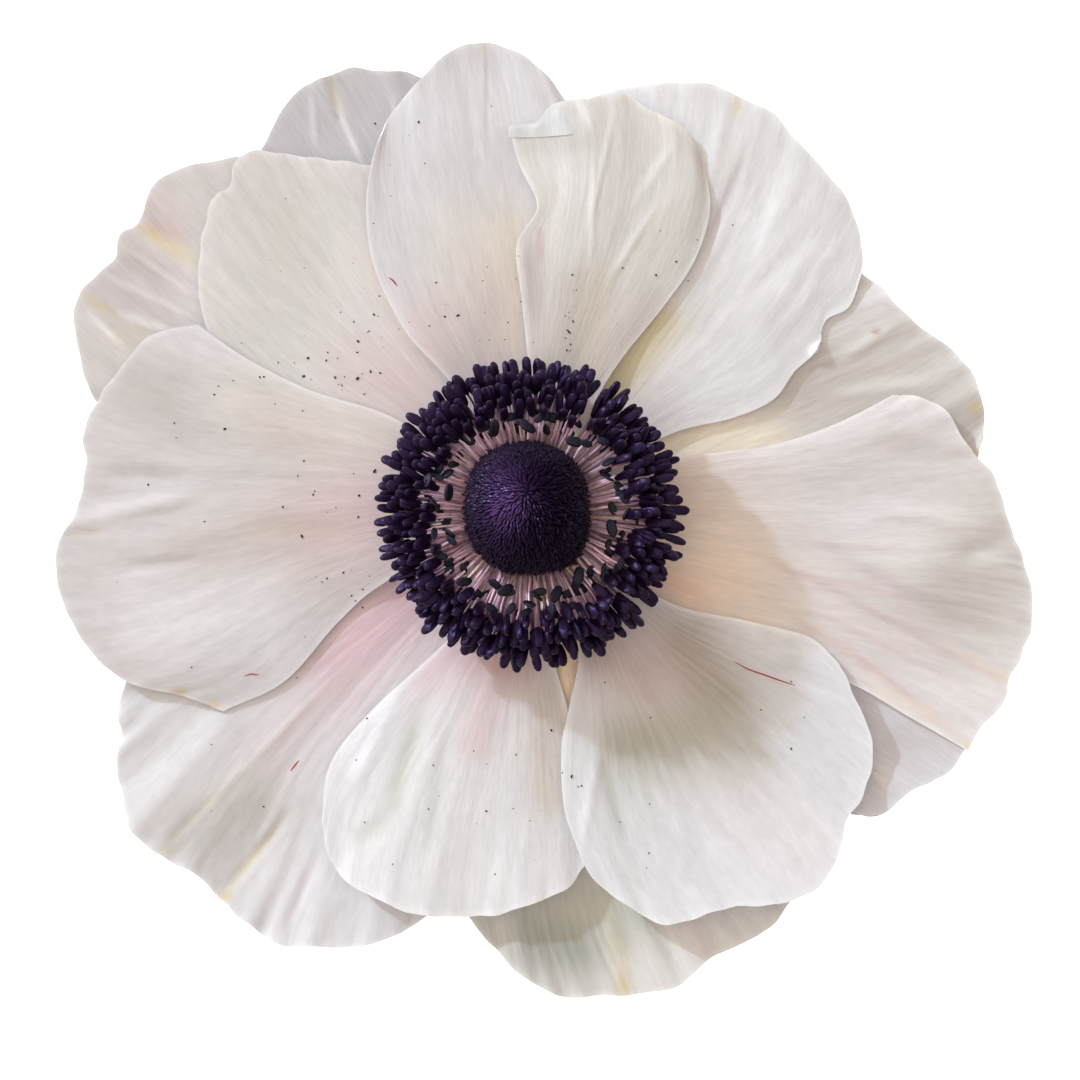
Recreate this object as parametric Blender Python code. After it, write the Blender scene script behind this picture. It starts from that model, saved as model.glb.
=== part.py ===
"""Head of an anemone flower, cut just behind the bloom and lying face up on its back.

Frame: metres, +Z up. The origin is the middle of the cut face of the stem stub, which
rests on the surface. +X is called east and +Y north, so that each tepal has a compass name.
A stub carries the receptacle, fourteen tepals grow from the receptacle in four storeys, a
collar of stamens sits above them, and the dome of carpels closes the middle.
"""

import math
import random

import bpy
import numpy as np
from mathutils import Matrix, Vector

MM = 0.001  # sizes below are in millimetres

# ---- receptacle and its stub
STUB_RADIUS = 2.6
COLUMN_RADIUS = 4.2
NECK_RADIUS = 3.4  # the column above the tepals, inside the collar of stamens
COLUMN_TOP = 10.0
RECEPTACLE_TOP = 11.3

# ---- tepals
TEPAL_THICKNESS = 0.6
CLAW_RADIUS = 4.5  # where a tepal's claw begins, 0.3 clear of the column
CLAW_HEIGHT = 6.2  # middle of the lowest claws
BACK_DROP = 4.4  # how far the lowest tepals sink from claw to rim
CLAW_END = 8.0  # radius where the claw widens into the blade
LEAN_END = 20.0  # radius from which a tepal's edges keep their own storeys
BLOOM_RADIUS = 42.0
STOREY_AT_CLAW = 1.2  # height from one storey to the next
STOREY_AT_RIM = 2.5
WAVE_HEIGHT = 0.35
WAVES_ACROSS = 2.3
CELLS_ACROSS = 16
CELLS_ALONG = 7

# ---- stamens
COLLAR_BOTTOM = 10.2
COLLAR_TOP = 11.2
COLLAR_INNER_RADIUS = 3.7
COLLAR_OUTER_RADIUS = 5.3
FILAMENT_RADIUS = 0.3
ANTHER_RADIUS = 0.55
ANTHER_LENGTH = 2.6
# each whorl: number of stamens, height of the roots, radius and height of the tips
WHORLS = ((46, 10.5, 13.8, 13.6), (38, 10.75, 11.8, 14.9), (24, 10.95, 9.2, 15.9))

# ---- dome of carpels
DOME_COLUMNS = 32
DOME_ROWS = 12
DOME_FOOT = math.radians(-56)  # latitude where the dome is cut off flat
DOME_RADIUS = 5.8
DOME_BOTTOM = 11.6
DOME_EQUATOR = 14.4
DOME_TOP = 20.0
CARPEL_RELIEF = 0.22

WHITE = (0.82, 0.80, 0.78)
GREEN = (0.30, 0.38, 0.16)
AUBERGINE = (0.030, 0.014, 0.040)
VIOLET_BLACK = (0.022, 0.014, 0.050)

# Each tepal: storeys of its left edge, middle and right edge, the bearings of its claw's
# left and right corners, how far its rim lifts, and then its outline seen from above, as
# points of the left edge, the rim and the right edge. Left and right are as seen from the
# middle of the bloom, and the outline runs clockwise.
TEPALS = {
    "tepal_back_west_northwest": (
        (0, 0, 0), (176, 140), 0.0,
        ((-12, 3), (-24, 4.5), (-34, 6.5), (-40.3, 10.3)),
        ((-41.3, 13), (-42.2, 17.5), (-41.9, 19.8), (-40, 21.9), (-38.4, 23.6), (-37.8, 25.7),
         (-36.3, 26.6), (-35, 29.9), (-33.4, 31.3), (-30.5, 32.2)),
        ((-26.6, 32.8), (-20.5, 24), (-12.6, 14.2)),
    ),
    "tepal_back_north_northwest": (
        (0, 0, 0), (124, 94), 0.0,
        ((-11, 15.6), (-18.5, 25.5), (-24.9, 33.3)),
        ((-23.6, 36), (-22, 38.3), (-20, 39.9), (-18.5, 40.2), (-16.4, 41.1), (-14, 40.7),
         (-11.5, 40.6)),
        ((-9, 39.6), (-5, 29), (-1.6, 14)),
    ),
    "tepal_back_east": (
        (0, 0, 0), (42, -4), 0.0,
        ((11.5, 11.5), (21.5, 19), (30.3, 22.1)),
        ((32.3, 20.8), (34.3, 18.5), (36.5, 16.7), (39, 14.9), (41, 12.4), (41.8, 9.7),
         (41.9, 7.3)),
        ((41.3, 4.7), (36, 0), (27, -3), (14, -3.6)),
    ),
    "tepal_back_southeast": (
        (0, 0, 0), (-22, -52), 0.6,
        ((14, -7), (28, -14), (40.3, -21.6)),
        ((39.2, -23.4), (38, -24.5), (35.3, -25.7), (33.1, -27.6), (31.5, -28.1)),
        ((29.6, -27.9), (20.5, -21.5), (10.5, -12.5)),
    ),
    "tepal_back_south": (
        (0, 0, 0), (-61, -99), -0.7,
        ((8, -14.5), (16.5, -27), (24.4, -35.6)),
        ((22.4, -38.3), (19.6, -40), (16.5, -41.4), (14, -43.7), (10.5, -44.6), (6.7, -44.8),
         (3.1, -44.9), (0.1, -43.5), (-2, -41.8), (-4, -39.6)),
        ((-6, -37.2), (-6.2, -27), (-3.6, -14)),
    ),
    "tepal_back_southwest": (
        (0, 0, 0), (250, 205), 0.0,
        ((-5.8, -14.5), (-8.9, -27), (-9.2, -37.2)),
        ((-12.6, -39.3), (-16.5, -40.3), (-20, -40.2), (-23.4, -40), (-27, -37.4),
         (-28.7, -35.8), (-30.6, -33.8), (-34.2, -31.8), (-36.8, -29.6), (-37.6, -26.7),
         (-38.2, -23.6), (-37.8, -20.5), (-38.1, -18.2)),
        ((-37.2, -15.2), (-27, -9), (-14, -3.6)),
    ),
    "tepal_mid_northwest": (
        (1, 1, 1), (153, 115), 0.0,
        ((-13, 6), (-22, 9.8), (-29.4, 15.6)),
        ((-30.4, 19.5), (-30.5, 23), (-29.9, 26.5), (-29, 29.1), (-27.6, 29.8), (-27.3, 31.9),
         (-25.5, 33.2), (-22, 32.8), (-17.5, 32.2)),
        ((-13.6, 31.6), (-9.4, 21), (-5, 10.5)),
    ),
    "tepal_mid_northeast": (
        (1, 1, 1), (72, 29), 0.6,
        ((3.6, 14), (3.8, 26), (2.7, 37.2)),
        ((5, 37.8), (8.1, 38.8), (12, 39.3), (16.1, 39.4), (19.1, 38.2), (22.6, 36.5),
         (24.2, 34.5), (27.2, 31.3), (29.5, 28.1), (30.5, 25)),
        ((30.6, 21.8), (29.4, 18.8), (27.2, 17.5), (26.4, 14.8), (24.3, 12.8), (22.3, 10.2),
         (18.5, 8.5), (12.5, 6.9)),
    ),
    "tepal_mid_east": (
        (1, 1, 1), (19, -29), 0.0,
        ((8.5, 3.1), (15, 5), (22.1, 6), (28.1, 8), (33.5, 10.7)),
        ((36.1, 10.4), (38.5, 9), (40.3, 6), (42.7, 3.3), (44.1, -0.9), (46, -6.5), (46.1, -11),
         (44.3, -15.3), (43.5, -17.8), (41.4, -20.1)),
        ((40.3, -22.1), (35, -19), (29, -15.7), (20.5, -13.4), (11.5, -9.2)),
    ),
    "tepal_front_north": (
        (1.9, 1.9, 1.8), (120, 77), 0.4,
        ((-7.1, 11.5), (-11.4, 16.4), (-14.3, 22.5), (-15, 28), (-14.4, 32.4)),
        ((-12.9, 36.1), (-9.7, 39.9), (-7.1, 42.3), (-4.2, 42.9), (-1.4, 42.2), (1.3, 40.2)),
        ((3.3, 37.5), (6.2, 30), (6, 19), (3.4, 10)),
    ),
    "tepal_front_west": (
        (0.65, 1.9, 1.9), (205, 154), 0.0,
        ((-13.2, -6.5), (-17.5, -10.1), (-22.5, -15.6), (-28.2, -18.4)),
        ((-32.5, -16.9), (-37.4, -15.6), (-41.2, -11.9), (-43.3, -7.3), (-43.5, -3.3),
         (-41.7, 0), (-40.8, 4.3), (-41, 7.4), (-39.5, 10.5), (-37, 14), (-34.5, 16.3)),
        ((-30.5, 17.1), (-26, 14), (-20, 11), (-11.9, 8.2)),
    ),
    "tepal_front_southeast": (
        (1.9, 1.9, 2.0), (-24, -68), 0.3,
        ((7.5, -4.8), (13, -8.5), (20, -10.1), (25.6, -11.6), (28.4, -14)),
        ((29.8, -17.1), (31.5, -21.5), (30.7, -25.9), (29, -28.6), (28.5, -31), (26.8, -34.2),
         (23.5, -35.9), (18, -36.5), (12.5, -38), (9.2, -36.3), (6.3, -34.3)),
        ((4.9, -32.3), (3.2, -27.4), (2.9, -21.7), (3.6, -17.8), (4.4, -12)),
    ),
    "tepal_top_north_northeast": (
        (2.7, 2.8, 1.85), (94, 55), 0.0,
        ((0, 11), (-0.3, 18), (-1.2, 24), (-0.2, 28.6), (-1.2, 31.3), (-1.9, 35.1)),
        ((0.5, 35.6), (2.2, 37.2), (5, 37.7), (8.4, 38.1), (11, 36.8), (14.2, 34.9)),
        ((16.1, 31.5), (16.5, 27.5), (15, 22.8), (12.2, 18.7), (7.4, 12.5)),
    ),
    "tepal_front_south_southwest": (
        (1.0, 1.5, 1.4), (275, 232), 0.4,
        ((1.4, -11), (3.4, -18), (4.1, -23), (4.6, -28.5), (5, -32.6)),
        ((3.2, -34.8), (-0.5, -36.3), (-4, -37.2), (-10, -37.1), (-13.7, -35.8), (-17, -33.9),
         (-18.6, -31.3)),
        ((-19.1, -28.3), (-18.3, -23.2), (-14.8, -18.6), (-9.2, -13.4), (-6.2, -10.2)),
    ),
}


def clear_scene():
    """Removes every object, so that the file holds this flower and nothing else."""
    for thing in list(bpy.data.objects):
        bpy.data.objects.remove(thing, do_unlink=True)


def plain_material(name, colour, roughness):
    """A Principled material of one colour."""
    material = bpy.data.materials.new(name)
    material.use_nodes = True
    shader = material.node_tree.nodes["Principled BSDF"]
    shader.inputs["Base Color"].default_value = (*colour, 1)
    shader.inputs["Roughness"].default_value = roughness
    shader.inputs["Metallic"].default_value = 0.0
    return material


def mesh_object(name, vertices, faces, material):
    """A smooth-shaded object from vertices in millimetres."""
    mesh = bpy.data.meshes.new(name)
    scaled = (np.asarray(vertices, dtype=float) * MM).tolist()
    mesh.from_pydata(scaled, [], faces)
    mesh.validate()
    mesh.shade_smooth()
    mesh.set_sharp_from_angle(angle=math.radians(50))
    mesh.materials.append(material)
    thing = bpy.data.objects.new(name, mesh)
    bpy.context.scene.collection.objects.link(thing)
    return thing


def ease(value, low, high):
    """0 below low, 1 above high and a smooth step between them."""
    share = np.clip((np.asarray(value, dtype=float) - low) / (high - low), 0, 1)
    return share * share * (3 - 2 * share)


def turned(name, profile, sides, material, closed=False):
    """A solid turned about Z from (radius, height) points that run down its outer side."""
    points = [(radius * MM, 0, height * MM) for radius, height in profile]
    edges = [(i, i + 1) for i in range(len(points) - 1)]
    if closed:
        edges.append((len(points) - 1, 0))
    mesh = bpy.data.meshes.new(name)
    mesh.from_pydata(points, edges, [])
    mesh.materials.append(material)
    thing = bpy.data.objects.new(name, mesh)
    bpy.context.scene.collection.objects.link(thing)
    screw = thing.modifiers.new("turn", "SCREW")
    screw.steps = screw.render_steps = sides
    screw.use_merge_vertices = True
    screw.merge_threshold = 0.00001
    screw.use_smooth_shade = True
    return thing


def make_receptacle():
    """The stub of the stem and the swollen end that everything grows from, as one piece."""
    profile = (
        (0, RECEPTACLE_TOP),
        (NECK_RADIUS, RECEPTACLE_TOP),
        (NECK_RADIUS, COLUMN_TOP + 0.3),
        (COLUMN_RADIUS - 0.2, COLUMN_TOP),
        (COLUMN_RADIUS, COLUMN_TOP - 0.4),
        (COLUMN_RADIUS, CLAW_HEIGHT - 0.9),
        (COLUMN_RADIUS - 0.7, CLAW_HEIGHT - 1.9),
        (STUB_RADIUS + 0.2, CLAW_HEIGHT - 3.2),
        (STUB_RADIUS, 2.0),
        (STUB_RADIUS, 0),
        (0, 0),
    )
    return turned("receptacle", profile, 28, plain_material("stem_green", GREEN, 0.6))


def make_dome():
    """The dome of carpels, whose rows stand out in turn so that the surface is knobbly."""
    columns, rows = DOME_COLUMNS, DOME_ROWS
    turn = np.arange(columns) * 2 * math.pi / columns
    vertices = [(0, 0, DOME_BOTTOM), (0, 0, DOME_TOP)]
    for row, latitude in enumerate(np.linspace(DOME_FOOT, math.pi / 2, rows + 1)[:-1]):
        if latitude < 0:
            height = DOME_EQUATOR - (DOME_EQUATOR - DOME_BOTTOM) * math.sin(latitude) / math.sin(DOME_FOOT)
        else:
            height = DOME_EQUATOR + (DOME_TOP - DOME_EQUATOR) * math.sin(latitude)
        knob = CARPEL_RELIEF * (-1) ** (np.arange(columns) + row) * min(row, 1)
        radius = (DOME_RADIUS + knob) * math.cos(latitude)
        vertices += [(r * math.cos(a), r * math.sin(a), height) for r, a in zip(radius, turn)]
    faces = []
    for row in range(rows - 1):
        first = 2 + row * columns
        for i in range(columns):
            k = (i + 1) % columns
            a, b, c, d = first + i, first + k, first + columns + k, first + columns + i
            faces += [(a, b, c), (a, c, d)] if (i + row) % 2 else [(a, b, d), (b, c, d)]
    last = 2 + (rows - 1) * columns
    for i in range(columns):
        k = (i + 1) % columns
        faces += [(0, 2 + k, 2 + i), (1, last + i, last + k)]
    return mesh_object("pistil_dome", vertices, faces, plain_material("carpels", VIOLET_BLACK, 0.45))


def make_stamen(bearing, root_height, tip_radius, tip_height, group, material):
    """One stamen as a five-sided rod: a filament that swells into a club-shaped anther."""
    root = Vector((COLLAR_OUTER_RADIUS - 0.75, 0, root_height))
    tip = Vector((tip_radius, 0, tip_height))
    along = (tip - root).normalized()
    length = (tip - root).length
    neck = length - ANTHER_LENGTH
    stations = (
        (0, FILAMENT_RADIUS),
        (neck, FILAMENT_RADIUS),
        (neck + 0.25 * ANTHER_LENGTH, 0.9 * ANTHER_RADIUS),
        (neck + 0.75 * ANTHER_LENGTH, ANTHER_RADIUS),
        (length, 0.45 * ANTHER_RADIUS),
    )
    side = Vector((0, 1, 0))
    up = along.cross(side)
    sides = 5
    vertices = []
    for distance, radius in stations:
        for i in range(sides):
            angle = 2 * math.pi * i / sides
            spoke = side * math.cos(angle) + up * math.sin(angle)
            vertices.append(root + along * distance + spoke * radius)
    faces = [tuple(reversed(range(sides)))]
    for ring in range(len(stations) - 1):
        for i in range(sides):
            k = (i + 1) % sides
            low, high = ring * sides, (ring + 1) * sides
            faces.append((low + i, low + k, high + k, high + i))
    faces.append(tuple(range(len(vertices) - sides, len(vertices))))
    turn = Matrix.Rotation(bearing, 3, "Z")
    stamen = mesh_object("stamen", [turn @ v for v in vertices], faces, material)
    bpy.context.scene.collection.objects.unlink(stamen)
    group.objects.link(stamen)


def make_stamens():
    """All stamens, in three whorls sunk into one collar and fused with it."""
    material = plain_material("stamens", AUBERGINE, 0.7)
    ring = (
        (COLLAR_OUTER_RADIUS, COLLAR_TOP),
        (COLLAR_OUTER_RADIUS, COLLAR_BOTTOM),
        (COLLAR_INNER_RADIUS, COLLAR_BOTTOM),
        (COLLAR_INNER_RADIUS, COLLAR_TOP),
    )
    collar = turned("stamens", ring, 28, material, closed=True)
    group = bpy.data.collections.new("loose_stamens")
    bpy.context.scene.collection.children.link(group)
    draw = random.Random(12)
    for number, root_height, tip_radius, tip_height in WHORLS:
        for i in range(number):
            bearing = 2 * math.pi * (i + draw.uniform(-0.18, 0.18)) / number
            reach = tip_radius + draw.uniform(-0.5, 0.2)
            rise = tip_height + draw.uniform(-0.4, 0.4)
            make_stamen(bearing, root_height, reach, rise, group, material)
    fuse(collar, group)
    return collar


def fuse(body, group):
    """Joins a collection's objects to the body by a Boolean union, and removes them."""
    union = body.modifiers.new("fuse", "BOOLEAN")
    union.operation = "UNION"
    union.operand_type = "COLLECTION"
    union.collection = group
    union.solver = "EXACT"
    bpy.context.view_layer.update()
    depsgraph = bpy.context.evaluated_depsgraph_get()
    fused = bpy.data.meshes.new_from_object(body.evaluated_get(depsgraph), depsgraph=depsgraph)
    body.modifiers.clear()
    body.data = fused
    for thing in list(group.objects):
        bpy.data.objects.remove(thing, do_unlink=True)
    bpy.data.collections.remove(group)


def smooth_curve(points, count):
    """count + 1 points, evenly spaced, on a Catmull-Rom curve through the given ones."""
    p = np.array(points, dtype=float)
    p = np.vstack([2 * p[0] - p[1], p, 2 * p[-1] - p[-2]])
    t = np.linspace(0, 1, 20, endpoint=False)[:, None]
    runs = []
    for a, b, c, d in zip(p, p[1:], p[2:], p[3:]):
        curve = 2 * b + (c - a) * t + (2 * a - 5 * b + 4 * c - d) * t**2 + (3 * b - a - 3 * c + d) * t**3
        runs.append(curve / 2)
    fine = np.vstack(runs + [p[-2:-1]])
    steps = np.hypot(*np.diff(fine, axis=0).T)
    length = np.concatenate([[0], np.cumsum(steps)])
    at = np.linspace(0, length[-1], count + 1)
    return np.column_stack([np.interp(at, length, fine[:, axis]) for axis in (0, 1)])


def tepal_plan(claw, left, rim, right, across, along):
    """The tepal seen from above, as a grid of veins that run from the claw to the rim.

    A Coons patch fills the four edges: the claw's arc, the left edge, the rim and the
    right edge. Rows of the result go along the veins, and columns across them.
    """
    bearings = np.radians(np.linspace(claw[0], claw[1], across + 1))
    base = CLAW_RADIUS * np.column_stack([np.cos(bearings), np.sin(bearings)])
    left_edge = smooth_curve((tuple(base[0]), *left), along)
    right_edge = smooth_curve((tuple(base[-1]), *right[::-1]), along)
    tip = smooth_curve((left[-1], *rim, right[0]), across)
    u = np.linspace(0, 1, along + 1)[:, None, None]
    s = np.linspace(0, 1, across + 1)[None, :, None]
    sides = (1 - s) * left_edge[:, None] + s * right_edge[:, None]
    ends = (1 - u) * base[None] + u * tip[None]
    corners = (1 - u) * ((1 - s) * base[0] + s * base[-1]) + u * ((1 - s) * tip[0] + s * tip[-1])
    return sides + ends - corners, s[..., 0], u[..., 0]


def tepal_height(plan, s, u, storeys, lift, phase):
    """Height of the tepal's middle surface over the plan, in millimetres."""
    radius = np.hypot(plan[..., 0], plan[..., 1])
    spread = ease(radius, CLAW_END, BLOOM_RADIUS)
    floor = CLAW_HEIGHT - BACK_DROP * spread
    storey_height = STOREY_AT_CLAW + (STOREY_AT_RIM - STOREY_AT_CLAW) * spread
    left, middle, right = storeys
    lean = (left - middle) * np.clip(1 - 2 * s, 0, 1) + (right - middle) * np.clip(2 * s - 1, 0, 1)
    storey = middle + lean * ease(radius, CLAW_END, LEAN_END)
    wave = WAVE_HEIGHT * np.sin(2 * math.pi * (WAVES_ACROSS * s + phase)) * u**2
    return floor + storey * storey_height + wave + lift * u**2


def thick_sheet(grid, thickness):
    """A closed shell round a grid of points: half the thickness to either side of it."""
    rows, columns = grid.shape[:2]
    down_vein = np.gradient(grid, axis=0)
    across_vein = np.gradient(grid, axis=1)
    normal = np.cross(across_vein, down_vein)
    normal /= np.linalg.norm(normal, axis=2, keepdims=True)
    normal *= np.sign(normal[..., 2:])
    top = grid + normal * thickness / 2
    bottom = grid - normal * thickness / 2
    vertices = np.vstack([top.reshape(-1, 3), bottom.reshape(-1, 3)])
    index = np.arange(rows * columns).reshape(rows, columns)
    a, b, c, d = (q.ravel() for q in (index[:-1, :-1], index[:-1, 1:], index[1:, 1:], index[1:, :-1]))
    upper = np.vstack([np.column_stack([a, b, c]), np.column_stack([a, c, d])])
    lower = upper[:, ::-1] + rows * columns
    edge = np.concatenate([index[0, :-1], index[:-1, -1], index[-1, :0:-1], index[:0:-1, 0]])
    after = np.roll(edge, -1)
    low = rows * columns
    walls = np.vstack(
        [np.column_stack([edge + low, after + low, after]), np.column_stack([edge + low, after, edge])]
    )
    return vertices, np.vstack([upper, lower, walls]).tolist()


def make_tepals():
    """The fourteen tepals, each from its row of the table."""
    for number, (name, row) in enumerate(TEPALS.items()):
        storeys, claw, lift, left, rim, right = row
        plan, s, u = tepal_plan(claw, left, rim, right, CELLS_ACROSS, CELLS_ALONG)
        height = tepal_height(plan, s, u, storeys, lift, 0.37 * number)
        grid = np.dstack([plan, height])
        vertices, faces = thick_sheet(grid, TEPAL_THICKNESS)
        mesh_object(name, vertices, faces, plain_material(f"{name}_white", WHITE, 0.55))


clear_scene()
make_receptacle()
make_dome()
make_stamens()
make_tepals()
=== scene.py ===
# %% [markdown]
# # An anemone bloom, tepal by tepal
# A garden anemone has no true petals: its white blades are tepals, each growing from the
# receptacle by a narrow claw and spreading like a fan. In the middle stands a dark dome of
# carpels in a ring of stamens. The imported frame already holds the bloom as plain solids.
# This lesson swaps them for thin, pleated, veined surfaces in the same places.

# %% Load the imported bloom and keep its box
import math

import bpy
import numpy as np
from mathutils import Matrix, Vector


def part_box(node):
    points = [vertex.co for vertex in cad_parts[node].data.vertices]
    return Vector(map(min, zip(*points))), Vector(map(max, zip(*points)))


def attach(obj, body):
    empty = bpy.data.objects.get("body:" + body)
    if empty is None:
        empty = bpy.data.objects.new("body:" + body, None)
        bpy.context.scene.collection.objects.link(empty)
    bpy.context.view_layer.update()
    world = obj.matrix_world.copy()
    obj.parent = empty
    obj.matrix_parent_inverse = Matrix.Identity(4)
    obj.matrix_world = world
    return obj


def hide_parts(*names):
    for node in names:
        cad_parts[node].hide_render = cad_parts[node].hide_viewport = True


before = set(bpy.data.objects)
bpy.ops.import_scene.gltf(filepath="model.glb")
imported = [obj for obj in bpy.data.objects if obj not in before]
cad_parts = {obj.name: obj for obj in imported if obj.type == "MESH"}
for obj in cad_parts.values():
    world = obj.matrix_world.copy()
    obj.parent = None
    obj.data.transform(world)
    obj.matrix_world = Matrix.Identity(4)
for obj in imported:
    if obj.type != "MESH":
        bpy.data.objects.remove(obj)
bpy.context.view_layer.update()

MM = 0.001
print("solids in the frame:", len(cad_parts))

# %% [markdown]
# Every piece below is a grid of points worked out with numpy and handed to Blender in one
# go. Modifiers could bend and thicken a plain grid too, but then no vein would be where a
# formula puts it. The first helper hands over a mesh and says what it replaces, and the
# second hands over colours. The third joins rings of points into rods, for stamens, styles
# and anything turned.

# %% Hand a mesh to Blender, and hide the solid it replaces
def make_piece(name, points, faces, material, replaced):
    """A smooth-shaded piece from points in millimetres, which rides on the only body."""
    mesh = bpy.data.meshes.new(name)
    mesh.from_pydata((np.asarray(points) * MM).tolist(), [], faces)
    mesh.materials.append(material)
    mesh.shade_smooth()
    mesh.set_sharp_from_angle(angle=math.radians(60))
    piece = bpy.data.objects.new(name, mesh)
    bpy.context.scene.collection.objects.link(piece)
    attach(piece, "root")
    if replaced:
        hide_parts(replaced)
    return piece


def give_values(piece, name, values):
    """Store one colour for each vertex, which a material reads by its name."""
    layer = piece.data.attributes.new(name, "FLOAT_COLOR", "POINT")
    rgba = np.column_stack([values, np.ones(len(values))])
    layer.data.foreach_set("color", rgba.astype(np.float32).ravel())


def rods(rings):
    """Points and faces of closed rods from rings[rod, station, side] of points.

    Neighbouring rings are joined by quads, side by side, and each end is closed by one face.
    """
    count, stations, sides = rings.shape[:3]
    index = np.arange(count * stations * sides).reshape(count, stations, sides)
    after = np.roll(index, -1, axis=2)
    quads = np.stack([index[:, :-1], after[:, :-1], after[:, 1:], index[:, 1:]], axis=-1)
    first = index[:, 0, ::-1].tolist()
    last = index[:, -1].tolist()
    return rings.reshape(-1, 3), quads.reshape(-1, 4).tolist() + first + last


# %% [markdown]
# Each tepal is drawn as its outline seen from above, in millimetres from the bloom's axis,
# with the points of its solid, a few of them nudged. An outline has a left edge, a rim and
# a right edge, as seen from the middle of the bloom. The first numbers say how the tepals
# are stacked: the storey of the left edge, the middle and the right edge. Then come the
# bearings of the claw's corners and how far the rim lifts.

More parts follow.
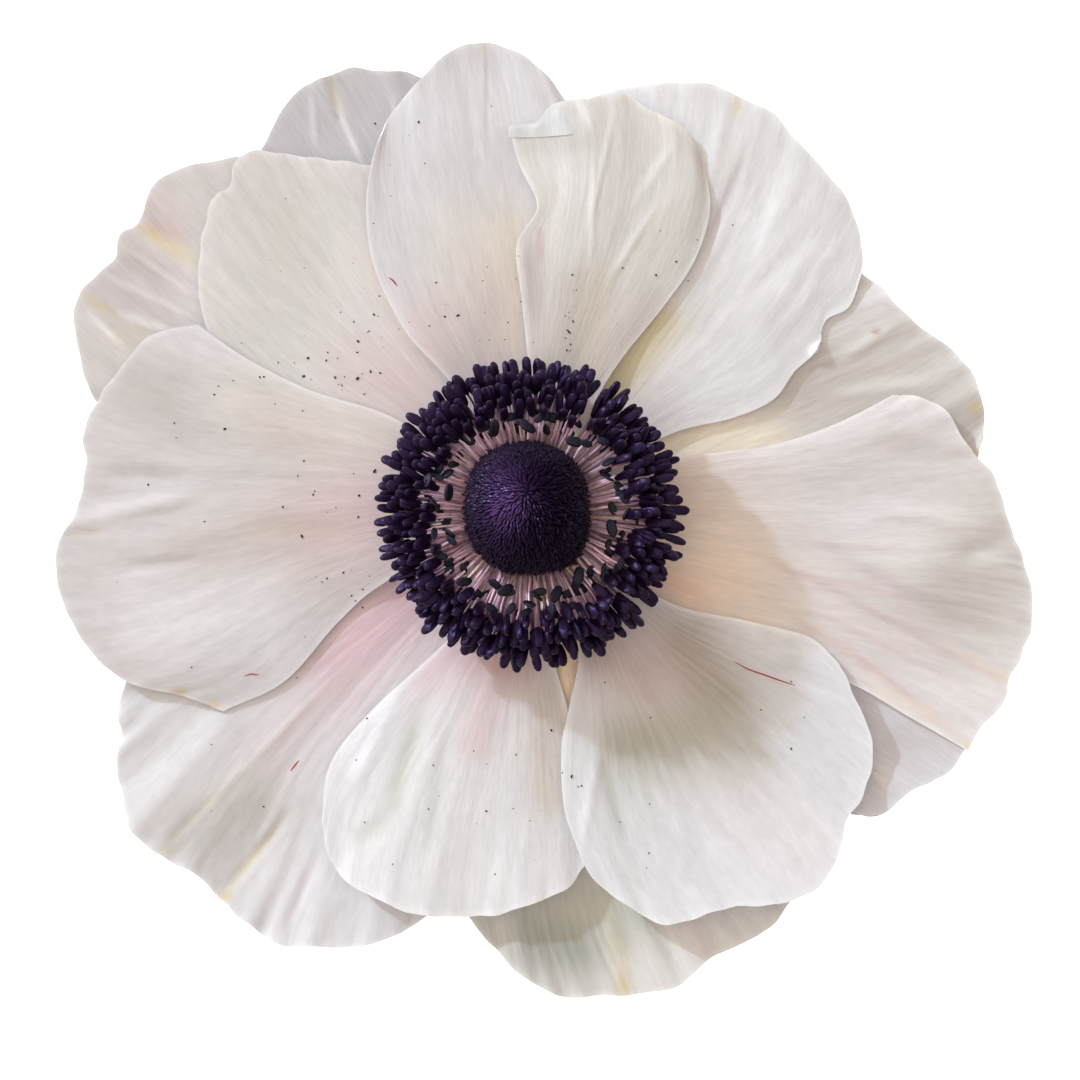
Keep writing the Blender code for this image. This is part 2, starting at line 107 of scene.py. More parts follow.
# %% The outlines of the fourteen tepals
TEPALS = {
    "tepal_back_west_northwest": (
        (0, 0, 0), (176, 140), 0.0,
        ((-12, 3), (-24, 4.5), (-34, 6.5), (-40.3, 10.3)),
        ((-41.3, 13), (-42.2, 17.5), (-41.9, 19.8), (-40, 21.9), (-38.4, 23.6), (-37.8, 25.7),
         (-36.3, 26.6), (-35, 29.9), (-33.4, 31.3), (-30.5, 32.2)),
        ((-26.6, 32.8), (-20.5, 24), (-12.6, 14.2)),
    ),
    "tepal_back_north_northwest": (
        (0, 0, 0), (124, 94), 0.0,
        ((-11, 15.6), (-18.5, 25.5), (-24.9, 33.3)),
        ((-23.6, 36), (-22, 38.3), (-20, 39.9), (-18.5, 40.2), (-16.4, 41.1), (-14, 40.7),
         (-11.5, 40.6)),
        ((-9, 39.6), (-5, 29), (-1.6, 14)),
    ),
    "tepal_back_east": (
        (0, 0, 0), (42, -4), 0.7,
        ((11.5, 11.5), (21.5, 19), (30.3, 22.1)),
        ((32.3, 20.8), (34.3, 18.5), (36.5, 16.7), (39, 14.9), (41, 12.4), (41.8, 9.7),
         (41.9, 7.3)),
        ((41.3, 4.7), (36, 0), (27, -3), (14, -3.6)),
    ),
    "tepal_back_southeast": (
        (0, 0, 0), (-22, -52), 1.3,
        ((14, -7), (28, -14), (40.3, -21.6)),
        ((39.2, -23.4), (38, -24.5), (35.3, -25.7), (33.1, -27.6), (31.5, -28.1)),
        ((29.6, -27.9), (20.5, -21.5), (10.5, -12.5)),
    ),
    "tepal_back_south": (
        (0, 0, 0), (-61, -99), 0.3,
        ((8, -14.5), (16.5, -27), (24.4, -35.6)),
        ((22.4, -38.3), (19.6, -40), (16.5, -41.4), (14, -43.7), (10.5, -44.6), (6.7, -44.8),
         (3.1, -44.9), (0.1, -43.5), (-2, -41.8), (-4, -39.6)),
        ((-6, -37.2), (-6.2, -27), (-3.6, -14)),
    ),
    "tepal_back_southwest": (
        (0, 0, 0), (250, 205), 0.4,
        ((-5.8, -14.5), (-8.9, -27), (-9.2, -37.2)),
        ((-12.6, -39.3), (-16.5, -40.3), (-20, -40.2), (-23.4, -40), (-27, -37.4),
         (-28.7, -35.8), (-30.6, -33.8), (-34.2, -31.8), (-36.8, -29.6), (-37.6, -26.7),
         (-38.2, -23.6), (-37.8, -20.5), (-38.1, -18.2)),
        ((-37.2, -15.2), (-27, -9), (-14, -3.6)),
    ),
    "tepal_mid_northwest": (
        (1, 1, 1), (153, 115), 0.0,
        ((-13, 6), (-22, 9.8), (-29.4, 15.6)),
        ((-30.4, 19.5), (-30.5, 23), (-29.9, 26.5), (-29, 29.1), (-27.6, 29.8), (-27.3, 31.9),
         (-25.5, 33.2), (-22, 32.8), (-17.5, 32.2)),
        ((-13.6, 31.6), (-9.4, 21), (-5, 10.5)),
    ),
    "tepal_mid_northeast": (
        (1, 1, 0.5), (72, 29), 0.4,
        ((3.6, 14), (3.8, 26), (2.7, 37.2)),
        ((5, 37.8), (8.1, 38.8), (12, 39.3), (16.1, 39.4), (19.1, 38.2), (22.6, 36.5),
         (24.2, 34.5), (27.2, 31.3), (29.5, 28.1), (30.5, 25)),
        ((30.6, 21.8), (29.4, 18.8), (27.2, 17.5), (26.4, 14.8), (24.3, 12.8), (22.3, 10.2),
         (18.5, 8.5), (12.5, 6.9)),
    ),
    "tepal_mid_east": (
        (1, 1, 1), (19, -29), 0.0,
        ((8.5, 3.1), (15, 5), (22.1, 6), (28.1, 8), (33.5, 10.7)),
        ((36.1, 10.4), (38.5, 9), (40.3, 6), (42.7, 3.3), (44.1, -0.9), (46, -6.5), (46.1, -11),
         (44.3, -15.3), (43.5, -17.8), (41.4, -20.1)),
        ((40.3, -22.1), (35, -19), (29, -15.7), (20.5, -13.4), (11.5, -9.2)),
    ),
    "tepal_front_north": (
        (1.9, 1.9, 1.8), (120, 77), 0.4,
        ((-7.1, 11.5), (-11.4, 16.4), (-14.3, 22.5), (-15, 28), (-14.4, 32.4)),
        ((-12.9, 36.1), (-9.7, 39.9), (-7.1, 42.3), (-4.2, 42.9), (-1.4, 42.2), (1.3, 40.2)),
        ((3.3, 37.5), (6.2, 30), (6, 19), (3.4, 10)),
    ),
    "tepal_front_west": (
        (0.5, 1.5, 1.5), (205, 154), 0.0,
        ((-13.2, -6.5), (-17.5, -10.1), (-22.5, -15.6), (-28.2, -18.4)),
        ((-32.5, -16.9), (-37.4, -15.6), (-41.2, -11.9), (-43.3, -7.3), (-43.5, -3.3),
         (-41.7, 0), (-40.8, 4.3), (-41, 7.4), (-39.5, 10.5), (-37, 14), (-34.5, 16.3)),
        ((-30.5, 17.1), (-26, 14), (-20, 11), (-11.9, 8.2)),
    ),
    "tepal_front_southeast": (
        (1.2, 1.65, 1.75), (-24, -68), 0.3,
        ((7.5, -4.8), (13, -8.5), (20, -10.1), (25.6, -11.6), (28.4, -14)),
        ((29.8, -17.1), (31.5, -21.5), (30.7, -25.9), (29, -28.6), (28.5, -31), (26.8, -34.2),
         (23.5, -35.9), (18, -36.5), (12.5, -38), (9.2, -36.3), (6.3, -34.3)),
        ((4.9, -32.3), (3.2, -27.4), (2.9, -21.7), (3.6, -17.8), (4.4, -12)),
    ),
    "tepal_top_north_northeast": (
        (2.6, 2.3, 1.5), (94, 55), 0.0,
        ((0, 11), (-0.7, 19), (-1.2, 24.3), (0.7, 27.7), (-0.9, 31.5), (-1.9, 35.1)),
        ((0.5, 35.6), (2.2, 37.2), (5, 37.7), (8.4, 38.1), (11, 36.8), (14.2, 34.9)),
        ((16.1, 31.5), (16.5, 27.5), (15, 22.8), (12.2, 18.7), (7.4, 12.5)),
    ),
    "tepal_front_south_southwest": (
        (1.0, 1.4, 1.2), (275, 232), 0.4,
        ((1.4, -11), (3.4, -18), (4.1, -23), (4.6, -28.5), (5, -32.6)),
        ((3.2, -34.8), (-0.5, -36.3), (-4, -37.2), (-10, -37.1), (-13.7, -35.8), (-17, -33.9),
         (-18.6, -31.3)),
        ((-19.1, -28.3), (-18.3, -23.2), (-14.8, -18.6), (-9.2, -13.4), (-6.2, -10.2)),
    ),
}
print("tepals:", len(TEPALS))

# %% [markdown]
# A tepal's veins leave the claw side by side and fan out to the rim. A Coons patch gives
# just such a grid: it blends the four edges, so that grid lines run from the claw to the
# rim like veins. Veins don't follow every notch of the margin, though. So the patch is
# laid between the edges' soft courses, and the notches are added close to the edges only.

# %% Smooth edges, and the soft course of an edge
CLAW_RADIUS = 4.5
ACROSS = 120
ALONG = 90


def smooth_curve(points, count):
    """count + 1 points, evenly spaced, on a Catmull-Rom curve through the given ones."""
    p = np.array(points, dtype=float)
    p = np.vstack([2 * p[0] - p[1], p, 2 * p[-1] - p[-2]])
    t = np.linspace(0, 1, 20, endpoint=False)[:, None]
    runs = []
    for a, b, c, d in zip(p, p[1:], p[2:], p[3:]):
        bend = (2 * a - 5 * b + 4 * c - d) * t**2 + (3 * b - a - 3 * c + d) * t**3
        runs.append(b + ((c - a) * t + bend) / 2)
    fine = np.vstack(runs + [p[-2:-1]])
    length = np.concatenate([[0], np.cumsum(np.hypot(*np.diff(fine, axis=0).T))])
    at = np.linspace(0, length[-1], count + 1)
    return np.column_stack([np.interp(at, length, fine[:, axis]) for axis in (0, 1)])


def soft_course(edge, terms):
    """A polynomial between the edge's ends, as close as it can be to the rest of it."""
    t = np.linspace(0, 1, len(edge))[:, None]
    straight = edge[0] + (edge[-1] - edge[0]) * t
    bows = t * (1 - t) * t ** np.arange(terms)
    return straight + bows @ np.linalg.lstsq(bows, edge - straight, rcond=None)[0]


# %% Lay the veins of a tepal in plan
def tepal_plan(claw, left, rim, right):
    """The grid of a tepal seen from above, and its coordinates.

    s runs from 0 at the left edge to 1 at the right one, u from 0 at the claw to 1 at the
    rim. Point = blend of left and right edge + blend of claw and rim - blend of corners,
    all with the soft courses, + what each edge departs from its course, faded inwards.
    """
    bearings = np.radians(np.linspace(claw[0], claw[1], ACROSS + 1))
    base = CLAW_RADIUS * np.column_stack([np.cos(bearings), np.sin(bearings)])
    left_edge = smooth_curve((tuple(base[0]), *left), ALONG)
    right_edge = smooth_curve((tuple(base[-1]), *right[::-1]), ALONG)
    tip = smooth_curve((left[-1], *rim, right[0]), ACROSS)
    soft_left, soft_right = soft_course(left_edge, 2), soft_course(right_edge, 2)
    soft_tip = soft_course(tip, 3)
    u = np.linspace(0, 1, ALONG + 1)[:, None, None]
    s = np.linspace(0, 1, ACROSS + 1)[None, :, None]
    sides = (1 - s) * soft_left[:, None] + s * soft_right[:, None]
    ends = (1 - u) * base[None] + u * soft_tip[None]
    corners = (1 - u) * ((1 - s) * base[0] + s * base[-1]) + u * ((1 - s) * tip[0] + s * tip[-1])
    plan = sides + ends - corners
    plan += (left_edge - soft_left)[:, None] * (1 - s) ** 6
    plan += (right_edge - soft_right)[:, None] * s**6
    plan += (tip - soft_tip)[None] * u**5
    s, u = np.broadcast_arrays(s[..., 0], u[..., 0])
    return plan, s, u


# %% [markdown]
# The height of a tepal has three parts. The first follows its solid, but packed closer: a
# floor that sinks towards the rim, one storey for each layer, and a slow wave. The second
# is the pleats, which a bud's folded tepals keep when they open: soft ridges along the
# veins, as sums of sines across the tepal. The third is single creases, drawn one by one.

# %% Storeys and slow waves
CLAW_HEIGHT = 6.2
BACK_DROP = 3.7
CLAW_END = 8.0
LEAN_END = 20.0
BLOOM_RADIUS = 42.0
STOREY_AT_CLAW = 1.2
STOREY_AT_RIM = 1.6
WAVE_HEIGHT = 0.2
WAVES_ACROSS = 2.3


def ease(value, low, high):
    """0 below low, 1 above high and a smooth step between them."""
    share = np.clip((value - low) / (high - low), 0, 1)
    return share * share * (3 - 2 * share)


def storey_height(plan, s, u, storeys, lift, phase):
    """Floor + storey x height of a storey + slow wave + lift of the rim."""
    radius = np.hypot(plan[..., 0], plan[..., 1])
    spread = ease(radius, CLAW_END, BLOOM_RADIUS)
    floor = CLAW_HEIGHT - BACK_DROP * spread
    one_storey = STOREY_AT_CLAW + (STOREY_AT_RIM - STOREY_AT_CLAW) * spread
    left, middle, right = storeys
    lean = (left - middle) * np.clip(1 - 2 * s, 0, 1) + (right - middle) * np.clip(2 * s - 1, 0, 1)
    storey = middle + lean * ease(radius, CLAW_END, LEAN_END)
    wave = WAVE_HEIGHT * np.sin(2 * math.pi * (WAVES_ACROSS * s + phase)) * u**2
    return floor + storey * one_storey + wave + lift * u**2


# %% Pleats along the veins
PLEATED_WIDTH = 30.0
BROAD_PLEAT = 0.11
MIDDLE_PLEAT = 0.03
FINE_PLEAT = 0.006
RUFFLE = 0.14


def sines(at, low, high, draw):
    """A sum of eight sines with drawn frequencies between low and high, about 1 high."""
    total = np.zeros_like(at)
    for frequency, phase in zip(draw.uniform(low, high, 8), draw.uniform(0, 1, 8)):
        total += np.sin(2 * math.pi * (frequency * at + phase))
    return total / 4


def pleats(s, u, width, draw):
    """Broad and fine pleats that wander and grow towards the rim, and a ruffled margin.

    width is the length of the rim, so that a narrow tepal has fewer pleats, not finer ones.
    """
    s = s * width / PLEATED_WIDTH
    at = s + 0.02 * sines(u, 0.5, 2.5, draw)
    broad = BROAD_PLEAT * sines(at, 2.5, 5, draw) * u**1.5
    middle = MIDDLE_PLEAT * sines(at, 8, 15, draw) * u * (1 + 0.6 * sines(u + s, 1, 3, draw))
    fine = FINE_PLEAT * sines(at, 24, 45, draw) * np.sqrt(u)
    ruffle = RUFFLE * sines(s, 5, 11, draw) * u**14
    return broad + middle + fine + ruffle


# %% [markdown]
# Some folds of a tepal are single and well marked, and many carry a colour: the main veins
# end in yellowish tips, and the valleys between them are mauve, or greenish in painted
# shade. So one table holds both, line by line: where a fold starts and ends, its half width,
# how far it rises, its colour and how strong that is. A patch of colour alone is a short
# line that rises 0. Many of these colours are painted light and shade: the grey, greenish
# and most umber patches, and the darker whites in valleys, are painted shade where the tepal
# lies in shadow or turns from the lamp, and the bright lines and patches are painted
# highlights.

# %% Single folds, patches of colour, and painted light and shade
WHITE = np.array((0.84, 0.82, 0.815))
# painted highlight: on ridges, along margins and on lit patches
PAINTED_HIGHLIGHT = np.array((0.93, 0.925, 0.93))
BLUSH = np.array((0.80, 0.60, 0.60))
PEACH = np.array((0.95, 0.77, 0.62))
ROSY = np.array((0.84, 0.70, 0.70))
CREAM = np.array((0.92, 0.85, 0.69))
# painted shade
SHADE = np.array((0.70, 0.66, 0.62))
# mostly painted shade, and the colour of a few brown veins
UMBER_VEINS_AND_SHADE = np.array((0.60, 0.51, 0.42))
YELLOW = np.array((0.80, 0.70, 0.36))
OLIVE = np.array((0.78, 0.71, 0.47))
# painted shade in valleys and where shadows fall
GREENISH_SHADE = np.array((0.64, 0.65, 0.54))
MAUVE = np.array((0.68, 0.60, 0.64))
LILAC = np.array((0.78, 0.74, 0.80))
BROWN = np.array((0.45, 0.26, 0.12))

FOLDS = {
    "tepal_back_west_northwest": (
        ((-36.8, 26.9), (-30.2, 22.4), 0.7, -0.15, CREAM * (1, 1, 0.9), 0.8),
        ((-36.9, 26.9), (-34.5, 25.2), 0.3, 0, YELLOW, 0.5),
        ((-39.5, 24), (-30, 20), 1.2, -0.3, MAUVE, 0.45),
        ((-42, 20.2), (-38, 18.1), 0.3, 0.1, YELLOW * 1.1, 0.6),
        ((-40.3, 22.3), (-29.6, 17.2), 0.3, 0.12, PAINTED_HIGHLIGHT * 1.15, 0.85),
        ((-38.5, 18.3), (-32, 16.2), 0.4, 0.2, PAINTED_HIGHLIGHT * 1.12, 0.75),
        ((-41.8, 19.3), (-36.8, 14.4), 0.3, 0.12, PAINTED_HIGHLIGHT * 1.15, 0.85),
        ((-39, 25.5), (-29.8, 19.2), 0.25, 0.08, PAINTED_HIGHLIGHT * 1.1, 0.6),
        ((-38, 27.5), (-30, 24.5), 0.5, -0.05, BLUSH * (1.05, 1.0, 0.95), 0.3),
        ((-39.5, 17), (-34, 15), 1.5, -0.1, OLIVE, 0.3),
        ((-40, 21), (-34, 19), 1.8, 0, MAUVE, 0.4),
        ((-36, 29.5), (-33, 26), 1.5, 0, BLUSH, 0.25),
    ),
    "tepal_back_north_northwest": (
        ((-18, 38), (-15.2, 31.6), 0.32, 0.14, PAINTED_HIGHLIGHT * 1.25, 1.0),
        ((-20.3, 39.4), (-19.7, 33), 0.28, 0.1, PAINTED_HIGHLIGHT * 1.2, 1.0),
        ((-12.6, 39), (-12.3, 35), 0.25, 0.08, PAINTED_HIGHLIGHT * 1.15, 0.8),
        ((-18.9, 40.6), (-18.7, 40), 0.5, 0, YELLOW, 0.5),
        ((-18.6, 40), (-17.4, 36), 0.5, -0.2, CREAM * (1, 1.02, 0.9), 0.75),
        ((-22.4, 38.1), (-22.3, 37.9), 0.25, 0, BROWN, 0.8),
        ((-18, 36.6), (-17.9, 36.5), 0.2, 0, BROWN, 0.8),
        ((-22, 35), (-12, 38), 5, 0, LILAC, 0.45),
    ),
    "tepal_back_east": (
        # cream at the base, made lighter as painted light where the tepals above shade it
        ((13, 6.5), (22, 6.8), 3.0, 0, CREAM * (1.07, 1.09, 1.16), 0.95),
        ((26, 11), (30, 10), 4.0, 0, SHADE, 0.9),
        ((36, 12), (41, 10), 5.0, 0, SHADE, 0.8),
        ((25, 11), (30, 13), 4.0, 0, SHADE, 0.4),
        ((31.9, 16.5), (32, 16.5), 0.28, 0, BROWN, 0.9),
        ((41.9, 9.9), (41, 9.5), 0.5, 0, YELLOW, 0.6),
        ((41.8, 5.4), (40.8, 5.2), 0.5, 0, YELLOW, 0.6),
        ((26, 10.5), (39.5, 12.3), 0.7, 0.2, PAINTED_HIGHLIGHT, 0.4),
        ((28, 13.5), (34.5, 17.6), 0.6, 0.2, PAINTED_HIGHLIGHT, 0.35),
    ),
    "tepal_back_southeast": (
        ((33, -20), (38, -23.5), 1.2, -0.15, MAUVE, 0.3),
        ((35, -21), (39, -21), 2.5, 0, SHADE, 0.6),
        ((31, -23), (34, -26.5), 0.8, 0.2, CREAM, 0.3),
        ((31, -18), (38, -22), 1.6, 0, PAINTED_HIGHLIGHT, 0.25),
    ),
    "tepal_back_south": (
        ((6.6, -36), (9, -45), 0.9, 0.25, CREAM, 0.7),
        ((8.8, -44.9), (8.6, -43.6), 0.6, 0, YELLOW, 0.6),
        # these two rows are the painted shadow of the front tepals lying over this one
        ((1, -39.5), (4, -40), 3.6, 0, GREENISH_SHADE * (0.76, 0.75, 0.82), 0.95),
        ((5, -36), (9, -37), 3.3, 0, GREENISH_SHADE, 0.6),
        ((-5, -36), (-2, -42), 0.8, -0.2, GREENISH_SHADE * 0.8, 0.3),
        ((11, -37), (14, -43), 0.7, -0.2, GREENISH_SHADE, 0.3),
        ((14, -37), (17, -42), 0.8, 0.2, BLUSH, 0.2),
        # a small fold raised under the tepals above, pale peach, made lighter as painted light in the
        # stamens' shadow
        ((3.3, -10), (3.7, -19), 1.6, 1.2, (1.0, 0.84, 0.68), 0.95),
    ),
    "tepal_back_southwest": (
        ((-17, -14), (-34.2, -32), 0.45, 0.13, CREAM, 0.45),
        ((-27.5, -25), (-34.6, -32), 0.45, -0.18, OLIVE, 0.75),
        ((-34.8, -32.4), (-33.8, -31.4), 0.5, 0, YELLOW, 0.7),
        ((-21.5, -27.2), (-29, -36), 0.5, -0.25, OLIVE, 0.65),
        ((-29.2, -36.6), (-28.2, -35.6), 0.5, 0, YELLOW, 0.8),
        ((-19.3, -31), (-23.4, -40), 0.5, -0.22, MAUVE, 0.4),
        ((-12, -9), (-18, -14), 3.5, 0, BLUSH * (1, 0.85, 0.93), 0.6),
        ((-18, -17), (-24, -22), 3.5, 0, BLUSH * (0.88, 1.0, 1.0), 0.5),
        ((-26, -27), (-31, -30), 3.8, 0, SHADE * 0.93, 0.9),
    ),
    "tepal_mid_northwest": (
        ((-16, 26), (-8.5, 13), 1.5, 0.1, PEACH * (1.02, 1.04, 1.1), 0.5),
        ((-15.5, 13), (-12, 12), 3.2, 0, BLUSH, 0.35),
        ((-24, 17), (-22, 26), 6, 0, GREENISH_SHADE, 0.25),
    ),
    "tepal_mid_northeast": (
        ((15, 21.5), (20.6, 34.5), 0.5, -0.22, MAUVE, 0.6),
        ((15.8, 28), (18.4, 38.5), 0.6, 0.15, PAINTED_HIGHLIGHT, 0.4),
        ((19.1, 37.8), (18.9, 37), 0.4, 0, YELLOW, 0.5),
        ((20, 22), (25.5, 33), 0.9, 0.12, PAINTED_HIGHLIGHT, 0.3),
        ((18.6, 18), (27, 27), 0.8, -0.12, MAUVE, 0.2),
        # partly an olive tint, partly the painted shadow of the top tepal
        ((7.5, 11.5), (12.2, 17.2), 1.9, 0, OLIVE * (0.92, 0.9, 0.93), 0.9),
        ((25.8, 14.1), (27.2, 15.4), 0.45, 0.6, PAINTED_HIGHLIGHT, 0.9),
        ((16, 11.3), (20, 13), 2.6, 0, PAINTED_HIGHLIGHT, 0.7),
        ((20, 20), (25, 24), 3.0, 0, PAINTED_HIGHLIGHT, 0.3),
        ((15, 18), (17, 23), 2.2, 0, SHADE, 0.35),
        ((21, 31), (24, 33), 3.5, 0, SHADE, 0.25),
    ),
    "tepal_mid_east": (
        ((12.5, -8.9), (26, -12.4), 0.8, 0.15, PEACH, 0.75),
        ((25.8, -6.3), (43.7, -15.8), 0.35, -0.05, MAUVE * (1.1, 1, 0.95), 0.5),
        ((26.4, -10.6), (40.4, -21.3), 0.45, -0.08, BLUSH * 0.92, 0.5),
        ((18, -3), (31, -8.5), 0.4, -0.05, BLUSH * 0.9, 0.4),
        ((20, -7), (33, -15.5), 0.4, -0.05, UMBER_VEINS_AND_SHADE * 1.2, 0.35),
        # the next three rows lie in the stamens' shadow: peach near the base, made lighter as painted
        # light, and umber painted shade
        ((13, -1), (17, -5), 5.5, 0, PEACH * (1.05, 1.12, 1.17), 0.75),
        ((13, -6.5), (15, -7.5), 1.5, 0, PEACH * (1.0, 0.95, 0.95), 0.8),
        ((17, -9), (20, -9.5), 4.0, 0, UMBER_VEINS_AND_SHADE * 1.33, 0.4),
        ((22, -5), (40, -9), 0.25, 0.05, ROSY, 0.5),
        ((24, -8), (38, -15), 0.25, 0.08, ROSY, 0.5),
        ((24, -9.5), (36, -18), 0.3, 0.08, ROSY, 0.5),
        ((22, -2.5), (41, -4), 0.25, 0.05, ROSY, 0.4),
        ((27, -7.5), (41, -12.5), 0.2, 0.05, ROSY, 0.5),
        ((40, -7), (44, -3), 6.5, 0, SHADE * 0.92, 0.95),
        ((30, -1), (35, -3), 3.0, 0, PAINTED_HIGHLIGHT, 0.5),
        ((26, -3.2), (40.6, -10.6), 0.6, -0.15, MAUVE, 0.35),
        ((28.3, -14), (40.6, -21), 0.6, 0.15, CREAM, 0.35),
        ((31, -12), (42, -17), 0.8, -0.12, MAUVE, 0.25),
        ((38, -12.2), (45, -16), 0.5, 0.15, PEACH, 0.35),
        ((44.2, -15.5), (43.9, -15.2), 0.4, 0, YELLOW, 0.5),
        ((40.6, -22), (40.2, -21.5), 0.5, 0, YELLOW, 0.6),
        ((36, -9), (44.5, -12), 0.7, -0.2, SHADE, 0.3),
        ((30, 0.5), (43, -1.5), 0.8, 0.2, PAINTED_HIGHLIGHT, 0.35),
        ((39, -4.2), (45, -3), 1.0, -0.3, WHITE * 0.9, 0.5),
        ((31, 6.3), (41, 4), 1.4, -0.35, WHITE * 0.93, 0.5),
    ),
    "tepal_front_north": (
        ((-4.4, 43.2), (-4.2, 37), 0.2, 0.05, PAINTED_HIGHLIGHT, 1.0),
        ((-4.3, 43), (-4.3, 42.6), 0.4, 0, YELLOW, 0.6),
        ((-4.0, 43), (-3.9, 33), 0.22, -0.06, SHADE, 0.8),
        ((-5, 15), (-5, 24), 4.5, 0, CREAM, 0.4),
        ((-8, 37), (-2, 39), 4.0, 0, PAINTED_HIGHLIGHT, 0.6),
        ((-6, 14), (-3, 17), 3.2, 0, SHADE, 0.85),
        ((-10, 14), (-9, 17), 2.5, 0, BLUSH, 0.35),
        ((-2, 16), (-1.8, 26), 1.8, 0, CREAM * 0.93, 0.6),
        ((-3, 14), (-4, 20), 4.0, 0, BLUSH, 0.25),
    ),
    "tepal_front_west": (
        ((-42.5, -1), (-30, 1.5), 0.7, 0.35, PAINTED_HIGHLIGHT, 0.4),
        ((-40.5, 3.4), (-30, 2.8), 0.9, -0.35, WHITE * 0.92, 0.5),
        ((-43.5, -2.2), (-38, -1.9), 0.3, -0.15, CREAM, 0.6),
        ((-39, -5.2), (-29, -4.6), 0.6, -0.2, MAUVE, 0.15),
        ((-29, -1.5), (-14, -2.1), 1.1, -0.1, OLIVE, 0.3),
        ((-15, 0), (-20, -1), 4.5, 0, BLUSH, 0.55),
        ((-24, 6), (-34, 8), 5.0, 0, SHADE, 0.5),
        ((-36, 12.5), (-33, 11), 3.0, 0, SHADE, 0.6),
        ((-14, 7), (-26, 10), 3.0, 0, CREAM, 0.3),
        ((-23, -2), (-31, -4), 2.8, 0, SHADE * (1.04, 0.98, 0.97), 0.5),
        ((-25, -10.5), (-34, -11), 3.8, 0, PAINTED_HIGHLIGHT, 0.95),
        ((-20, 6), (-24, 8), 2.6, 0, SHADE * (1.08, 1.0, 0.98), 0.4),
        ((-33, -17), (-32.2, -16.6), 0.5, 0, YELLOW, 0.7),
        ((-29.8, -18), (-29, -17.8), 0.4, 0, YELLOW, 0.6),
    ),
    "tepal_front_southeast": (
        ((6.6, -20), (4.6, -32), 0.5, 0.15, PAINTED_HIGHLIGHT, 0.4),
        ((6.4, -21), (9.2, -31), 0.7, -0.2, GREENISH_SHADE, 0.35),
        ((8, -12), (14, -22), 0.5, 0.1, BLUSH, 0.5),
        ((9.5, -10.5), (18, -19), 0.5, 0.1, BLUSH, 0.35),
        # the next four rows are the painted shadow of the stamens, umber and greenish
        ((14, -12.2), (17, -17), 3.4, 0, UMBER_VEINS_AND_SHADE * 0.87, 0.92),
        ((9, -21), (16.5, -19), 3.0, 0, GREENISH_SHADE * (0.93, 0.87, 0.88), 0.85),
        ((7, -13), (10, -15), 2.6, 0, UMBER_VEINS_AND_SHADE * 0.95, 0.65),
        ((11, -23), (19, -22.5), 3.2, 0, GREENISH_SHADE * (0.93, 0.88, 0.9), 0.5),
        ((7, -12), (12, -15), 4.0, 0, BLUSH, 0.3),
        ((19, -26), (27, -33), 5.0, 0, BLUSH, 0.12),
    ),
    "tepal_top_north_northeast": (
        ((5, 24), (8.2, 38.6), 0.3, 0.09, PAINTED_HIGHLIGHT, 0.6),
        ((4.2, 38.2), (5.9, 34.4), 0.4, 0.12, PAINTED_HIGHLIGHT * 1.05, 1.0),
        # painted shadow under the folded flap
        ((-1, 33.2), (5.3, 33.5), 1.0, 0, SHADE * (1.05, 1.08, 1.12), 0.5),
        ((6.6, 20), (12, 28.6), 0.35, 0.1, PAINTED_HIGHLIGHT, 0.7),
        ((5.6, 21), (5.9, 34.5), 0.3, 0.1, PAINTED_HIGHLIGHT, 0.6),
        ((1, 31.5), (4, 30.5), 2.6, 0, PAINTED_HIGHLIGHT, 0.4),
        ((10, 21), (14, 27.5), 1.8, 0, SHADE * (1.02, 1.04, 1.0), 0.3),
        ((9.2, 27.4), (13.9, 34.6), 0.45, 0.1, PAINTED_HIGHLIGHT, 0.5),
        ((9.5, 22), (12, 27), 1.0, 0, OLIVE, 0.12),
        ((12.5, 22), (14.5, 31), 2.4, 0, PAINTED_HIGHLIGHT, 0.6),
        ((8.7, 38.6), (8.5, 38), 0.4, 0, YELLOW, 0.5),
        ((3.5, 14), (4.5, 20), 2.8, 0, SHADE, 0.8),
        ((1, 23), (0.9, 25.5), 0.3, 0, BLUSH, 0.7),
        # lilac grey: painted shade on the folded left margin
        ((0.4, 15), (-0.1, 26.3), 1.2, -0.12, LILAC * (0.87, 0.84, 0.77), 1.0),
        ((5.5, 13), (6, 21), 1.5, 0, CREAM, 0.3),
    ),
    "tepal_front_south_southwest": (
        ((-9, -16), (-13.5, -31), 1.1, -0.3, GREENISH_SHADE, 0.4),
        ((-11, -14.5), (-17.5, -28), 0.7, 0.15, PAINTED_HIGHLIGHT, 0.5),
        ((-12.5, -28), (-16.5, -31), 1.0, -0.2, GREENISH_SHADE, 0.25),
        ((-7, -18), (-9.8, -33), 0.7, -0.12, GREENISH_SHADE, 0.2),
        ((-3, -13), (-5, -21), 2.0, 0, BLUSH, 0.4),
        # darker mauve at the base: painted shade where the stamens' shadow falls
        ((-5, -13.5), (-1, -14.5), 2.0, 0, MAUVE * (1.12, 0.88, 0.8), 0.6),
        ((-7, -12), (-9, -15), 2.2, 0, BLUSH, 0.4),
        ((1.4, -17), (1.6, -26), 2.0, 0, SHADE * (1.05, 1.0, 0.95), 0.75),
    ),
}


def fold_weight(plan, start, end, width, rise):
    """1 on the line and less away from it, by a Gaussian. A fold also fades at its ends."""
    start, run = np.array(start, dtype=float), np.subtract(end, start)
    share = ((plan - start) @ run) / (run @ run)
    nearest = start + np.clip(share, 0, 1)[..., None] * run
    weight = np.exp(-np.sum((plan - nearest) ** 2, axis=-1) / width**2)
    if rise:
        weight = weight * ease(share, -0.05, 0.4) * ease(1 - share, -0.05, 0.4)
    return weight


